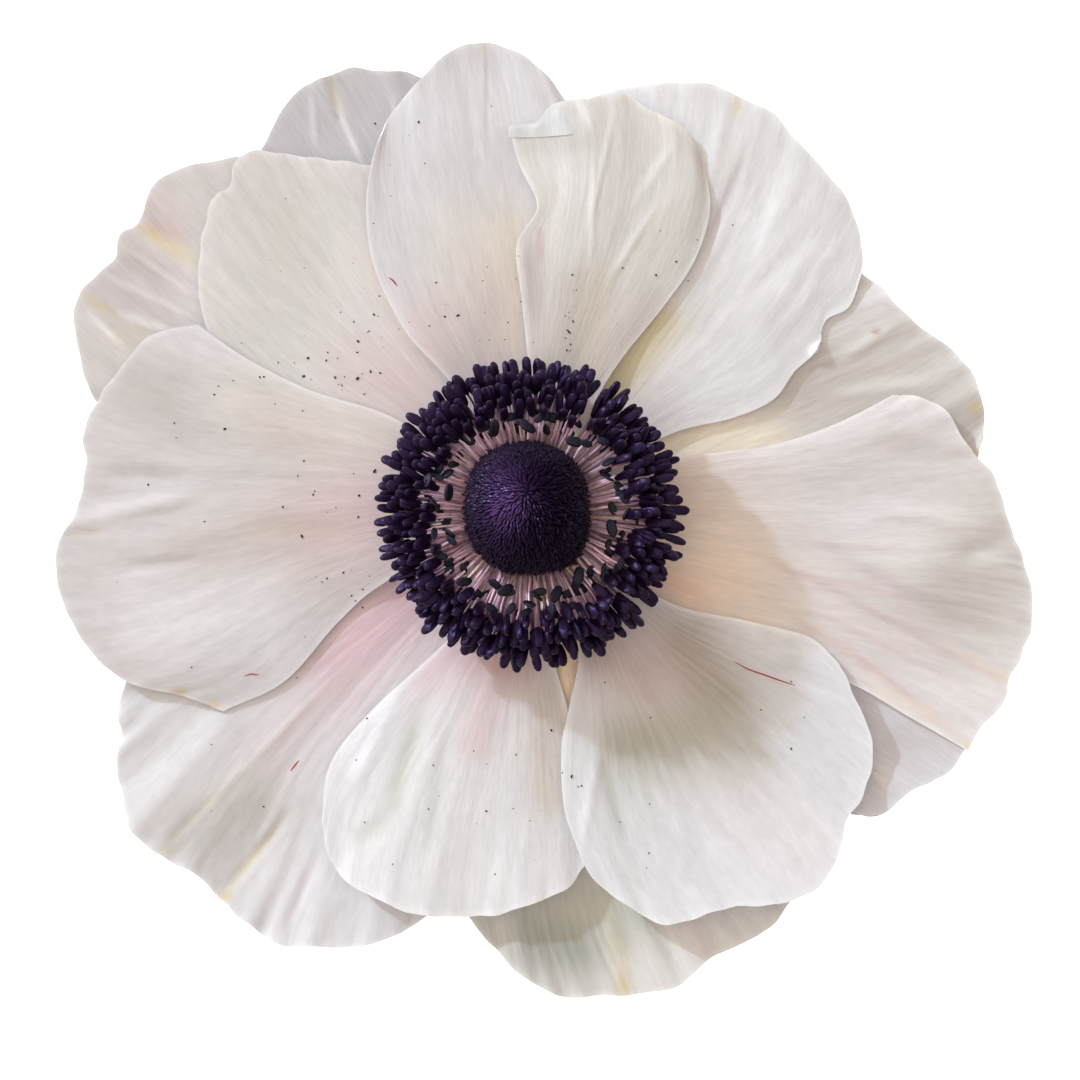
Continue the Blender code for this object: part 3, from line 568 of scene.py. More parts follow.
def fold_height(plan, folds):
    """What the folds add to the height of each point."""
    return sum(
        rise * fold_weight(plan, start, end, width, rise)
        for start, end, width, rise, *_ in folds
    )


# %% [markdown]
# A white tepal is never one white. It is rosy near the middle and tinted along its folds,
# and its tint also holds painted shade and painted highlights, with a painted highlight
# along the thin margin. A painted image could hold that, but a colour worked out at each
# point of the grid follows the folds when they are changed. So each vertex gets a tint of
# its own, which the tepal's material reads.

# %% Colour of each tepal
BLUSH_SHARE = 0.25
BLUSH_REACH = (11, 24)
# a painted highlight along the margin: its width in millimetres, its share and its colour
EDGE_WIDTH = 0.35
EDGE_SHARE = 0.5
EDGE_HIGHLIGHT = PAINTED_HIGHLIGHT * 1.08
# each tepal is a little duller, warmer or cooler than the next: partly its own tone and
# partly painted shade and light
TONES_WITH_PAINTED_SHADE = {
    "tepal_back_west_northwest": (0.90, 0.87, 0.86),
    "tepal_back_north_northwest": (0.82, 0.81, 0.815),
    "tepal_back_east": (0.99, 0.98, 0.985),
    "tepal_back_southeast": (0.95, 0.945, 0.985),
    "tepal_back_south": (1.0, 0.99, 0.98),
    "tepal_back_southwest": (1.0, 1.0, 1.03),
    "tepal_mid_northwest": (0.94, 0.91, 0.90),
    "tepal_mid_northeast": (1.04, 1.05, 1.07),
    "tepal_mid_east": (1.04, 1.02, 1.03),
    "tepal_front_north": (0.915, 0.90, 0.92),
    "tepal_front_west": (0.925, 0.905, 0.915),
    "tepal_front_southeast": (1.07, 1.09, 1.13),
    "tepal_front_south_southwest": (1.08, 1.09, 1.12),
    "tepal_top_north_northeast": (0.99, 0.975, 0.955),
}


def tepal_colour(plan, s, u, folds, draw):
    """White, blushed at the middle, with the folds' colours, painted shade and painted highlights."""
    streak = 1 + 0.25 * sines(s + 0.01 * sines(u, 1, 4, draw), 15, 50, draw)
    streak = np.clip(streak, 0.3, 1.5)[..., None]
    radius = np.hypot(plan[..., 0], plan[..., 1])
    share = BLUSH_SHARE * (1 - ease(radius, *BLUSH_REACH))[..., None] * streak
    colour = WHITE * (1 - share) + BLUSH * share
    for start, end, width, rise, tint, strength in folds:
        share = np.clip(strength * streak * fold_weight(plan, start, end, width, rise)[..., None], 0, 1)
        colour = colour * (1 - share) + tint * share
    across = np.linalg.norm(plan[:, -1] - plan[:, 0], axis=1)[:, None]
    along = np.linalg.norm(plan[-1] - plan[0], axis=1)[None, :]
    inset = np.minimum(np.minimum(s, 1 - s) * across, (1 - u) * along)
    share = EDGE_SHARE * np.exp(-((inset / EDGE_WIDTH) ** 2))[..., None]
    return colour * (1 - share) + EDGE_HIGHLIGHT * share


# %% [markdown]
# A material is a tree of nodes, and every skin of the bloom needs the same few: noise, a
# wider or narrower range for it, a relief, and a mix of two colours. They could be wired
# one by one each time. Short helpers say it once, so that each material reads like a list.

# %% Node helpers
def new_material(name, roughness):
    """A material with one Principled shader. Returns it, its node tree and the shader."""
    material = bpy.data.materials.new(name)
    material.use_nodes = True
    tree = material.node_tree
    shader = tree.nodes["Principled BSDF"]
    shader.inputs["Roughness"].default_value = roughness
    return material, tree, shader


def add_node(tree, kind, inputs=(), **settings):
    """A node with its settings, and inputs given as (name, value or socket) pairs."""
    node = tree.nodes.new(kind)
    for name, value in settings.items():
        setattr(node, name, value)
    for name, value in inputs:
        if isinstance(value, bpy.types.NodeSocket):
            tree.links.new(value, node.inputs[name])
        else:
            node.inputs[name].default_value = value
    return node


def add_mix(tree, factor, first, second, blend="MIX"):
    """A colour mix of two sockets or colours. Returns its colour output."""
    mix = tree.nodes.new("ShaderNodeMix")
    mix.data_type = "RGBA"
    mix.blend_type = blend
    for socket, value in ((mix.inputs[0], factor), (mix.inputs[6], first), (mix.inputs[7], second)):
        if isinstance(value, bpy.types.NodeSocket):
            tree.links.new(value, socket)
        else:
            socket.default_value = value
    return mix.outputs[2]


def object_place(tree):
    """Where a point is on its piece, in metres."""
    return add_node(tree, "ShaderNodeTexCoord").outputs["Object"]


def vertex_tint(tree):
    """The colour stored at the vertices."""
    return add_node(tree, "ShaderNodeVertexColor", layer_name="tint").outputs["Color"]


def add_noise(tree, place, scale, detail, **more):
    """Smooth noise with scale cycles per unit of place. Mostly between 0.35 and 0.65."""
    inputs = [("Vector", place), ("Scale", scale), ("Detail", detail)]
    inputs += [(name.capitalize(), value) for name, value in more.items()]
    return add_node(tree, "ShaderNodeTexNoise", inputs).outputs["Fac"]


def spread_noise(tree, noise, low, high):
    """Noise stretched from its usual range to the range from low to high."""
    inputs = [("Value", noise), ("From Min", 0.35), ("From Max", 0.65)]
    inputs += [("To Min", low), ("To Max", high)]
    return add_node(tree, "ShaderNodeMapRange", inputs).outputs["Result"]


def add_relief(tree, height, strength, distance, **more):
    """A relief of the given height in millimetres. Returns the tilted normal."""
    inputs = [("Height", height), ("Strength", strength), ("Distance", distance * MM)]
    inputs += [(name.capitalize(), value) for name, value in more.items()]
    return add_node(tree, "ShaderNodeBump", inputs).outputs["Normal"]


# %% [markdown]
# A white tepal lets about as much light through as it throws back, which is why one tepal
# hardly darkens the next. So its material mixes a reflecting shader with a translucent
# one. Short streaks along the veins and a little mottling vary its colour and its relief,
# and a very fine grain stands for the glistening cells of its skin.

# %% The skin of the tepals
FINE_SHARE = 0.45
MOTTLE_SHARE = 0.22
THROUGH_SHARE = 0.42


def add_streaks(tree, place, across, along, detail):
    """Noise stretched along the veins: across and along are its cycles per millimetre."""
    inputs = [("Vector", place), ("Scale", (across, along, 1.0))]
    stretched = add_node(tree, "ShaderNodeMapping", inputs).outputs["Vector"]
    return add_noise(tree, stretched, 1.0, detail, distortion=0.5)


def make_tepal_skin():
    """White, half translucent, streaked along the veins and mottled, with a fine relief."""
    material, tree, shader = new_material("tepal skin", 0.5)
    shader.inputs["Specular IOR Level"].default_value = 0.3
    veins = add_node(tree, "ShaderNodeUVMap", uv_map="veins").outputs["UV"]
    broad = add_streaks(tree, veins, 0.9, 0.14, 4.0)
    fine = add_streaks(tree, veins, 3.0, 0.45, 4.0)
    mottle = add_streaks(tree, veins, 1.9, 1.0, 4.0)
    streaks = add_node(tree, "ShaderNodeMix", [(2, broad), (3, fine), (0, FINE_SHARE)]).outputs[0]
    inputs = [(2, streaks), (3, mottle), (0, MOTTLE_SHARE)]
    texture = add_node(tree, "ShaderNodeMix", inputs).outputs[0]
    light = spread_noise(tree, texture, 0.895, 1.05)
    colour = add_mix(tree, 1.0, vertex_tint(tree), light, "MULTIPLY")
    tree.links.new(colour, shader.inputs["Base Color"])
    cells = add_noise(tree, object_place(tree), 6000.0, 1.0)
    grain = add_relief(tree, cells, 0.12, 0.05)
    relief = add_relief(tree, texture, 0.5, 0.13, normal=grain)
    tree.links.new(relief, shader.inputs["Normal"])
    through = add_node(tree, "ShaderNodeBsdfTranslucent", [("Color", colour), ("Normal", relief)])
    mixed = add_node(tree, "ShaderNodeMixShader", [("Fac", THROUGH_SHARE)])
    tree.links.new(shader.outputs["BSDF"], mixed.inputs[1])
    tree.links.new(through.outputs["BSDF"], mixed.inputs[2])
    tree.links.new(mixed.outputs["Shader"], tree.nodes["Material Output"].inputs["Surface"])
    return material


tepal_skin = make_tepal_skin()
print("made the material", tepal_skin.name)

# %% [markdown]
# A real tepal is about a quarter of a millimetre thick. The sheet below goes half of that to
# either side of the worked-out surface, along its normal, and a wall closes it all round.

# %% Build the tepals
TEPAL_THICKNESS = 0.26
# how deep the pleats of the back storey are, and those of the storeys above it
BACK_PLEATS = 1.0
FRONT_PLEATS = 0.6
WAVE_SHIFT = 0.37
NOTCH_DEPTH = 0.09
LIGHTEST = 0.97
# about the width and length of a tepal, so that the veins' map is in millimetres, and the
# distance between one tepal's map and the next
VEIN_MAP = (28, 36)
MAP_STEP = 50


def sheet(grid, thickness):
    """Points and faces of a closed sheet round a grid: the grid moved both ways, and walls."""
    rows, columns = grid.shape[:2]
    normal = np.cross(np.gradient(grid, axis=1), np.gradient(grid, axis=0))
    normal /= np.linalg.norm(normal, axis=2, keepdims=True)
    normal *= np.sign(normal[..., 2:])
    points = np.stack([grid + normal * thickness / 2, grid - normal * thickness / 2])
    index = np.arange(rows * columns).reshape(rows, columns)
    low = rows * columns
    top = np.stack([index[:-1, :-1], index[:-1, 1:], index[1:, 1:], index[1:, :-1]], axis=-1)
    under = top[..., ::-1] + low
    edge = np.concatenate([index[0, :-1], index[:-1, -1], index[-1, :0:-1], index[:0:-1, 0]])
    after = np.roll(edge, -1)
    wall = np.column_stack([edge + low, after + low, after, edge])
    faces = np.vstack([top.reshape(-1, 4), under.reshape(-1, 4), wall])
    return points.reshape(-1, 3), faces


surfaces = {}
for number, (name, row) in enumerate(TEPALS.items()):
    storeys, claw, lift, left, rim, right = row
    plan, s, u = tepal_plan(claw, left, rim, right)
    draw = np.random.default_rng(100 + number)
    height = storey_height(plan, s, u, storeys, lift, WAVE_SHIFT * number)
    folds = FOLDS[name]
    width = np.hypot(*np.diff(plan[-1], axis=0).T).sum()
    depth = BACK_PLEATS if "back" in name else FRONT_PLEATS
    height = height + depth * pleats(s, u, width, draw) + fold_height(plan, folds)
    notches = NOTCH_DEPTH * sines(s * width, 0.12, 0.4, draw) * u**8
    plan = plan * (1 + notches / np.hypot(plan[..., 0], plan[..., 1]))[..., None]
    surfaces[name] = np.dstack([plan, height])
    points, faces = sheet(surfaces[name], TEPAL_THICKNESS)
    tepal = make_piece(name + "_blade", points, faces.tolist(), tepal_skin, name)
    tint = np.minimum(TONES_WITH_PAINTED_SHADE[name] * tepal_colour(plan, s, u, folds, draw), LIGHTEST)
    give_values(tepal, "tint", np.tile(tint.reshape(-1, 3), (2, 1)))
    uv = np.stack([VEIN_MAP[0] * s + MAP_STEP * number, VEIN_MAP[1] * u], axis=-1).reshape(-1, 2)
    layer = tepal.data.uv_layers.new(name="veins")
    layer.data.foreach_set("uv", np.tile(uv, (2, 1))[faces.ravel()].astype(np.float32).ravel())
print("tepals built:", len(surfaces), "faces each:", len(faces))

# %% [markdown]
# Stamens, styles, pollen and scratches are all thin things with a round section, so one
# function makes them all. It takes many spines at once, as one array of stations, and lays
# a ring of points round each station. A groove turns a plain rod into an anther, which
# has two long pollen sacs side by side.

# %% Rings round many spines at once
def tubes(spines, radii, sides, flat=1.0, groove=0.0, roll=0.0):
    """Rings of points from spines[rod, station, xyz] and radii[rod, station].

    A ring lies across its spine, between a level axis and one upright on both. flat
    scales the upright axis, groove pulls the ring in where it crosses that axis, and roll
    turns each rod about its spine.
    """
    along = np.gradient(spines, axis=1)
    along /= np.linalg.norm(along, axis=2, keepdims=True)
    level = np.cross((0.01, 0.02, 1.0), along)
    level /= np.linalg.norm(level, axis=2, keepdims=True)
    upright = np.cross(along, level)
    c, s = (function(np.asarray(roll, dtype=float)).reshape(-1, 1, 1) for function in (np.cos, np.sin))
    level, upright = c * level + s * upright, c * upright - s * level
    turn = np.linspace(0, 2 * math.pi, sides, endpoint=False)
    size = 1 - groove * np.sin(turn) ** 8
    ring = level[..., None, :] * (np.cos(turn) * size)[:, None]
    ring = ring + upright[..., None, :] * (flat * np.sin(turn) * size)[:, None]
    return spines[..., None, :] + ring * radii[..., None, None]


def polar(bearing, reach, height, drift):
    """Points at a distance along a bearing, a height, and a drift to its left."""
    c, s = np.cos(bearing), np.sin(bearing)
    x, y = reach * c - drift * s, reach * s + drift * c
    return np.stack([x, y, np.broadcast_to(height, reach.shape)], axis=-1)


def turned(profile, turn, size):
    """Rings of a turned solid from profile[station, radius and height], with a scaled radius."""
    out = profile[:, :1] * size
    return polar(turn, out, profile[:, 1:], 0)


# %% [markdown]
# The stamens stand in whorls. The outer ones lie almost flat, and each whorl further in
# rises more steeply, so that from above their anthers overlap like tiles. In one place the
# ring has parted, as it does where a stamen was knocked aside, so the bearings near that
# place are pushed away from it.

# %% Lay out the stamens
# whorl: number, radius and height of the neck, where anther meets filament, the spread of
# both, and the rise of the anther in degrees. The last whorl's anthers have opened.
WHORLS = (
    (94, 11.7, 11.8, 0.35, 8),
    (94, 11.0, 12.6, 0.45, 20),
    (88, 10.3, 13.2, 0.50, 32),
    (78, 9.6, 13.6, 0.60, 42),
    (44, 8.9, 13.8, 0.60, 50),
    (98, 8.5, 13.4, 1.2, 20),
)
# each whorl is turned against the one outside it, by so many radians
WHORL_TURN = 0.7
PARTING = math.radians(59)
PARTING_WIDTH = 0.1
PUSHED_ASIDE = 0.045
draw = np.random.default_rng(7)
whorl = np.repeat(np.arange(len(WHORLS)), [row[0] for row in WHORLS])
number, neck_radius, neck_height, spread, rise = np.array(WHORLS, dtype=float)[whorl].T
step = np.concatenate([np.arange(row[0]) for row in WHORLS])
bearing = 2 * math.pi * (step + draw.uniform(-0.36, 0.36, len(step))) / number
bearing = bearing + WHORL_TURN * whorl
neck_radius = neck_radius + spread * draw.uniform(-1, 1, len(step))
# the ring of closed anthers sits a little low, and is a little taller than wide
neck_radius -= (whorl < len(WHORLS) - 1) * (0.3 * np.sin(bearing) + 0.12 * np.cos(2 * bearing))
away = (bearing - PARTING + math.pi) % (2 * math.pi) - math.pi
pushed = PUSHED_ASIDE * np.sign(away) * np.exp(-((away / PARTING_WIDTH) ** 2))
bearing = bearing + pushed * (neck_radius > 9)
neck_height = neck_height + spread * draw.uniform(-1, 1, len(step))
rise = np.radians(rise + draw.normal(0, 9, len(step)))
ripe = whorl == len(WHORLS) - 1
print("stamens:", len(bearing), "of them open:", ripe.sum())

# %% [markdown]
# A filament is a pale thread that starts on the collar of the receptacle, arches up and
# out, and turns magenta just before the anther. That dark end is partly its own colour and
# partly painted shade under the anthers.

# %% Filaments
FILAMENT_RADIUS = 0.14
FILAMENT_SIDES = 5
ROOT_RADIUS = 4.9
ROOT_HEIGHT = 10.9
PALE_PINK = np.array((0.95, 0.62, 0.76))
# dark magenta: the filament's own colour, darkened further as painted shade under the anthers
MAGENTA_AND_SHADE = np.array((0.20, 0.05, 0.17))
MAGENTA_REACH = (7.6, 10.4)
YELLOWISH_ONES = 1 / 20


def make_filament_skin():
    """The colour stored at the vertices, up to a quarter darker in spots."""
    material, tree, shader = new_material("filament skin", 0.4)
    mottle = add_noise(tree, object_place(tree), 1500.0, 2.0)
    light = spread_noise(tree, mottle, 0.75, 1.0)
    colour = add_mix(tree, 1.0, vertex_tint(tree), light, "MULTIPLY")
    tree.links.new(colour, shader.inputs["Base Color"])
    return material


t = np.linspace(0, 1, 8)[None, :]
bow = draw.uniform(0.1, 0.5, len(bearing))[:, None]
sway = draw.uniform(-0.2, 0.2, len(bearing))[:, None]
reach = ROOT_RADIUS + (neck_radius[:, None] - ROOT_RADIUS) * t
height = ROOT_HEIGHT + (neck_height[:, None] - ROOT_HEIGHT) * t**0.8 + bow * np.sin(math.pi * t)
spines = polar(bearing[:, None], reach, height, sway * np.sin(2 * math.pi * t) * t)
thin = FILAMENT_RADIUS * (1 - 0.2 * t) + 0 * reach
points, faces = rods(tubes(spines, thin, FILAMENT_SIDES))
filament_skin = make_filament_skin()
filaments = make_piece("stamen_filaments", points, faces, filament_skin, "stamens")
share = ease(np.hypot(points[:, 0], points[:, 1]), *MAGENTA_REACH)[:, None]
# a few are yellowish, and all differ in how pale they are
yellowish = draw.random(len(bearing))[:, None] < YELLOWISH_ONES
pale = np.where(yellowish, PEACH, PALE_PINK) * draw.uniform(0.45, 1.15, (len(bearing), 1))
pale = np.repeat(pale, reach.shape[1] * FILAMENT_SIDES, axis=0)
give_values(filaments, "tint", pale * (1 - share) + MAGENTA_AND_SHADE * share)
print("filament faces:", len(faces))

# %% [markdown]
# The outer anthers are still closed: blunt clubs of dark aubergine velvet with a groove.
# The inner ones have opened and dried to dusty green-black scales, which sit crosswise.

# %% Anther velvet
def make_velvet(name, colour, shade, tint, roughness):
    """Two colours in patches, a fine grain, and highlights of the given tint."""
    material, tree, shader = new_material(name, roughness)
    shader.inputs["Specular IOR Level"].default_value = 0.3
    shader.inputs["Specular Tint"].default_value = tint
    place = object_place(tree)
    patches = add_noise(tree, place, 900.0, 3.0)
    tree.links.new(add_mix(tree, patches, colour, shade), shader.inputs["Base Color"])
    grain = add_noise(tree, place, 5000.0, 2.0)
    tree.links.new(add_relief(tree, grain, 0.5, 0.06), shader.inputs["Normal"])
    return material


# %% Closed anthers
ANTHER_LENGTH = 2.35
ANTHER_RADIUS = 0.47
ANTHER_DROOP = 0.1
# share of the length, and of the radius there
CLUB = np.array((
    (0, 0.25), (0.1, 0.7), (0.35, 0.9), (0.65, 1.0), (0.87, 0.85), (0.97, 0.5), (1.0, 0.2),
))


def closed_spines(pick):
    """Spines that leave the picked necks at their rise and droop a little."""
    t = CLUB[:, 0][None, :]
    size = ANTHER_LENGTH * draw.uniform(0.85, 1.12, pick.sum())[:, None]
    askew = draw.normal(0, 0.17, pick.sum())[:, None]
    out = size * (t * np.cos(rise[pick])[:, None])
    up = size * (t * np.sin(rise[pick])[:, None] - ANTHER_DROOP * t * t)
    reach, height = neck_radius[pick][:, None] + out, neck_height[pick][:, None] + up
    return polar(bearing[pick][:, None], reach, height, askew * out)


spines = closed_spines(~ripe)
widths = ANTHER_RADIUS * draw.uniform(0.85, 1.12, len(spines))[:, None] * CLUB[:, 1][None, :]
widths = widths * draw.uniform(0.92, 1.08, widths.shape)
roll = draw.normal(0, 0.5, len(spines))
points, faces = rods(tubes(spines, widths, 10, flat=0.82, groove=0.45, roll=roll))
aubergine = make_velvet(
    "aubergine velvet", (0.003, 0.0011, 0.005, 1), (0.014, 0.0055, 0.024, 1), (0.62, 0.42, 1.0, 1), 0.36
)
make_piece("anthers_closed", points, faces, aubergine, "stamens")
print("closed anthers:", len(spines), "faces:", len(faces))

# %% Open anthers
OPEN_LENGTH = 1.5
OPEN_RADIUS = 0.44
SCALE = np.array(((-0.5, 0.2), (-0.4, 0.7), (-0.15, 1.0), (0.15, 1.0), (0.4, 0.72), (0.5, 0.2)))
across = bearing[ripe] + math.pi / 2 + draw.normal(0, 0.8, ripe.sum())
middle = polar(bearing[ripe], neck_radius[ripe], neck_height[ripe] + 0.2, 0 * bearing[ripe])
lean = np.stack([np.cos(across), np.sin(across), draw.normal(0, 0.3, ripe.sum())], axis=-1)
size = draw.uniform(0.7, 1.1, ripe.sum())[:, None]
spines = middle[:, None] + lean[:, None] * (OPEN_LENGTH * size * SCALE[:, 0])[..., None]
roll = draw.normal(0, 0.6, len(spines))
widths = OPEN_RADIUS * size * SCALE[:, 1]
points, faces = rods(tubes(spines, widths, 12, flat=0.6, groove=0.6, roll=roll))
slate = make_velvet(
    "dusty green-black", (0.003, 0.0024, 0.006, 1), (0.016, 0.016, 0.022, 1), (0.6, 0.6, 1.0, 1), 0.45
)
make_piece("anthers_open", points, faces, slate, "stamens")
print("open anthers:", len(spines), "faces:", len(faces))

# %% [markdown]
# All the filaments grow from a narrow band round the receptacle. It could be a plain torus,
# but the band is flat below and close to the receptacle inside. So a closed profile is
# turned about the axis, and its outer side is a little bumpy, where the filaments start.

# %% The collar the filaments grow from
COLLAR_PROFILE = np.array((
    (3.75, 10.25), (5.1, 10.25), (5.25, 10.6), (5.15, 11.0), (4.8, 11.15), (3.75, 11.15),
))
# the collar is painted dark, as painted shade between the filaments
COLLAR_PAINTED_SHADE = PALE_PINK * 0.16
turn = np.linspace(0, 2 * math.pi, 96, endpoint=False)[None, :]
bumps = 1 + 0.02 * np.sin(31 * turn) * (COLLAR_PROFILE[:, :1] > 5)
rings = turned(COLLAR_PROFILE, turn, bumps)
points = rings.reshape(-1, 3)
index = np.arange(len(points)).reshape(rings.shape[:2])
below, beside = np.roll(index, -1, axis=0), np.roll(index, -1, axis=1)
quads = np.stack([index, beside, np.roll(beside, -1, axis=0), below], axis=-1).reshape(-1, 4)
collar = make_piece("stamen_collar", points, quads.tolist(), filament_skin, "stamens")
give_values(collar, "tint", np.tile(COLLAR_PAINTED_SHADE, (len(points), 1)))
print("collar faces:", len(quads))

# %% [markdown]
# The dome is a head of hundreds of carpels, with its crown a little off the middle. It
# bulges on one side, and a shallow cleft runs down it from the crown. A squashed ball would
# look made by machine, so one function gives the point of the real, uneven dome for each
# latitude and turn. It shapes the core, and later says where each style is rooted.

# %% The shape of the dome
DOME_RADIUS = 5.35
DOME_EQUATOR = 14.4
DOME_RISE = 5.1
DOME_SINK = 2.8
DOME_FOOT = math.radians(-56)
DOME_BULGE = math.radians(-42)
BULGE_SHARE = 0.09
BULGE_WIDTH = 0.45
CROWN_SHIFT = np.array((0.15, 1.3, 0.0))
CLEFT_DEPTH = 0.25
CLEFT_WIDTH = 0.5


def dome_surface(latitude, turn):
    """A point on the dome: a four-cornered ellipsoid with a bulge, a cleft and a shifted crown."""
    below = np.sin(latitude) / math.sin(DOME_FOOT)
    height = np.where(latitude < 0, -DOME_SINK * below, DOME_RISE * np.sin(latitude))
    away = (turn - DOME_BULGE + math.pi) % (2 * math.pi) - math.pi
    bulge = BULGE_SHARE * np.exp(-(away / BULGE_WIDTH) ** 2)
    out = DOME_RADIUS * (1 + 0.02 * np.cos(4 * turn - math.pi) + bulge)
    out = out * np.cos(latitude)
    x, y = out * np.cos(turn) - 0.3, 1.06 * out * np.sin(turn) + 0.2
    cleft = CLEFT_DEPTH * np.exp(-(((x - 0.35) / CLEFT_WIDTH) ** 2)) * ease(-y, -1.5, 1.5)
    height = DOME_EQUATOR + height - cleft * np.sin(np.maximum(latitude, 0))
    point = np.stack([x, y, height], axis=-1)
    return point + CROWN_SHIFT * (np.maximum(np.sin(latitude), 0) ** 2)[..., None]


# %% The dome's core
# where the painted light on the dome's upper left lies, how far it reaches along x and y,
# and how bright the dome stays in the painted shade away from it
PAINTED_LIGHT_PLACE = (-2.1, 0.8)
PAINTED_LIGHT_REACH = (1.9, 2.6)
PAINTED_DOME_SHADE = 0.11
latitude = np.linspace(DOME_FOOT, math.radians(89), 50)[:, None]
turn = np.linspace(0, 2 * math.pi, 120, endpoint=False)[None, :]
latitude, turn = np.broadcast_arrays(latitude, turn)
points, faces = rods(dome_surface(latitude, turn)[None])


def painted_dome_light(points):
    """Painted light and shade: the dome is brightest on its upper left, towards the lamp."""
    gap = np.hypot(*((points[:, :2] - PAINTED_LIGHT_PLACE) / PAINTED_LIGHT_REACH).T)
    return np.tile((PAINTED_DOME_SHADE + (1 - PAINTED_DOME_SHADE) * np.exp(-(gap**2)))[:, None], (1, 3))


def make_dome_skin(name, dark, bright, tint, roughness):
    """Violet and mottled, with highlights of the given tint, scaled by painted light and shade."""
    material, tree, shader = new_material(name, roughness)
    shader.inputs["Specular IOR Level"].default_value = 0.5
    mottle = add_noise(tree, object_place(tree), 700.0, 3.0)
    share = vertex_tint(tree)
    colour = add_mix(tree, 1.0, add_mix(tree, mottle, dark, bright), share, "MULTIPLY")
    tree.links.new(colour, shader.inputs["Base Color"])
    tree.links.new(add_mix(tree, 1.0, share, tint, "MULTIPLY"), shader.inputs["Specular Tint"])
    return material


core_skin = make_dome_skin(
    "carpel skin", (0.006, 0.002, 0.010, 1), (0.014, 0.005, 0.022, 1), (0.4, 0.3, 0.8, 1), 0.6
)
core = make_piece("dome_core", points, faces, core_skin, "pistil_dome")
give_values(core, "tint", painted_dome_light(points))
print("dome core faces:", len(faces))

# %% [markdown]
# Each carpel ends in a short glossy style, and all are combed outwards from the crown. A
# random scatter would leave bald spots between them. So they are set by the golden angle,
# the even spiral in which flower heads place their parts, and only lean and size are drawn.

# %% The styles on the dome
STYLES = 3200
# how much of the ball's height they cover, from the crown down: 2 would be all of it
COVERED = 1.45
# a small step in latitude or round the dome, to find the slope beside a root
NUDGE = 0.05
STYLE_LENGTH = 0.58
STYLE_RADIUS = 0.105
# how far the styles stand off the slope, and how much their leans differ
STYLE_LIFT = 0.55
STYLE_DISORDER = 0.27
GOLDEN_ANGLE = math.pi * (3 - math.sqrt(5))
k = np.arange(STYLES)
latitude = np.arcsin(1 - (k + 0.5) / STYLES * COVERED)
turn = k * GOLDEN_ANGLE
root = dome_surface(latitude, turn)
down = dome_surface(latitude - NUDGE, turn) - root
down /= np.linalg.norm(down, axis=1, keepdims=True)
beside = dome_surface(latitude, turn + NUDGE) - root
normal = np.cross(beside, -down)
normal /= np.linalg.norm(normal, axis=1, keepdims=True)
comb = down + STYLE_LIFT * normal + draw.normal(0, STYLE_DISORDER, (STYLES, 3))
comb /= np.linalg.norm(comb, axis=1, keepdims=True)
t = np.linspace(0, 1, 4)[None, :, None]
longer_below = 1 + 0.6 * ease(-latitude, -0.3, 0.3)[:, None, None]
length = STYLE_LENGTH * draw.uniform(0.7, 1.25, (STYLES, 1, 1)) * longer_below
spines = root[:, None] + length * (comb[:, None] * t + normal[:, None] * 0.5 * t * (1 - t))
thin = STYLE_RADIUS * np.array((0.9, 1.15, 0.9, 0.35))[None, :] * draw.uniform(0.8, 1.15, (STYLES, 1))
points, faces = rods(tubes(spines, thin, 5))
style_skin = make_dome_skin(
    "glossy style", (0.016, 0.006, 0.040, 1), (0.110, 0.048, 0.200, 1), (0.85, 0.6, 1.0, 1), 0.3
)
styles = make_piece("dome_styles", points, faces, style_skin, "pistil_dome")
give_values(styles, "tint", painted_dome_light(points))
print("styles:", STYLES, "faces:", len(faces))

# %% [markdown]
# Behind the bloom hides the receptacle, where everything grows from, and the stub of the
# stem. It is turned from a profile, with twelve shallow ribs from the cut face upwards.

# %% Receptacle and stem stub
STEM_PROFILE = np.array((
    (0.05, 0), (2.55, 0), (2.6, 0.25), (2.65, 2), (2.85, 3), (3.5, 4.3), (4.1, 5.1), (4.2, 5.6),
    (4.2, 9.6), (4.0, 10), (3.45, 10.3), (3.4, 11.2), (0.05, 11.25),
))
RIBS = 12
low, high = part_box("receptacle")
turn = np.linspace(0, 2 * math.pi, 72, endpoint=False)[None, :]
ribs = 1 - 0.02 * (np.cos(RIBS * turn) > 0.2) * (STEM_PROFILE[:, :1] > 0.1)
points, faces = rods(turned(STEM_PROFILE, turn, ribs)[None])


def make_stem_skin():
    """Green, paler in streaks along the stem."""
    material, tree, shader = new_material("stem skin", 0.55)
    inputs = [("Vector", object_place(tree)), ("Scale", (1.0, 1.0, 0.15))]
    upright = add_node(tree, "ShaderNodeMapping", inputs).outputs["Vector"]
    streaks = add_noise(tree, upright, 1500.0, 3.0)
    colour = add_mix(tree, streaks, (0.20, 0.28, 0.09, 1), (0.42, 0.48, 0.24, 1))
    tree.links.new(colour, shader.inputs["Base Color"])
    return material


make_piece("stem_stub", points, faces, make_stem_skin(), "receptacle")
print("receptacle height in mm:", round((high[2] - low[2]) / MM, 1))

# %% [markdown]
# Loose pollen and crumbs of anther lie on the tepals, in drifts beside the ring, mostly
# towards one side of the bloom. To set them down, the script needs the height of the
# topmost tepal below any place, which it finds from the grid points round that place.

# %% Set small things down on the tepals
LANDING_RADIUS = 0.3


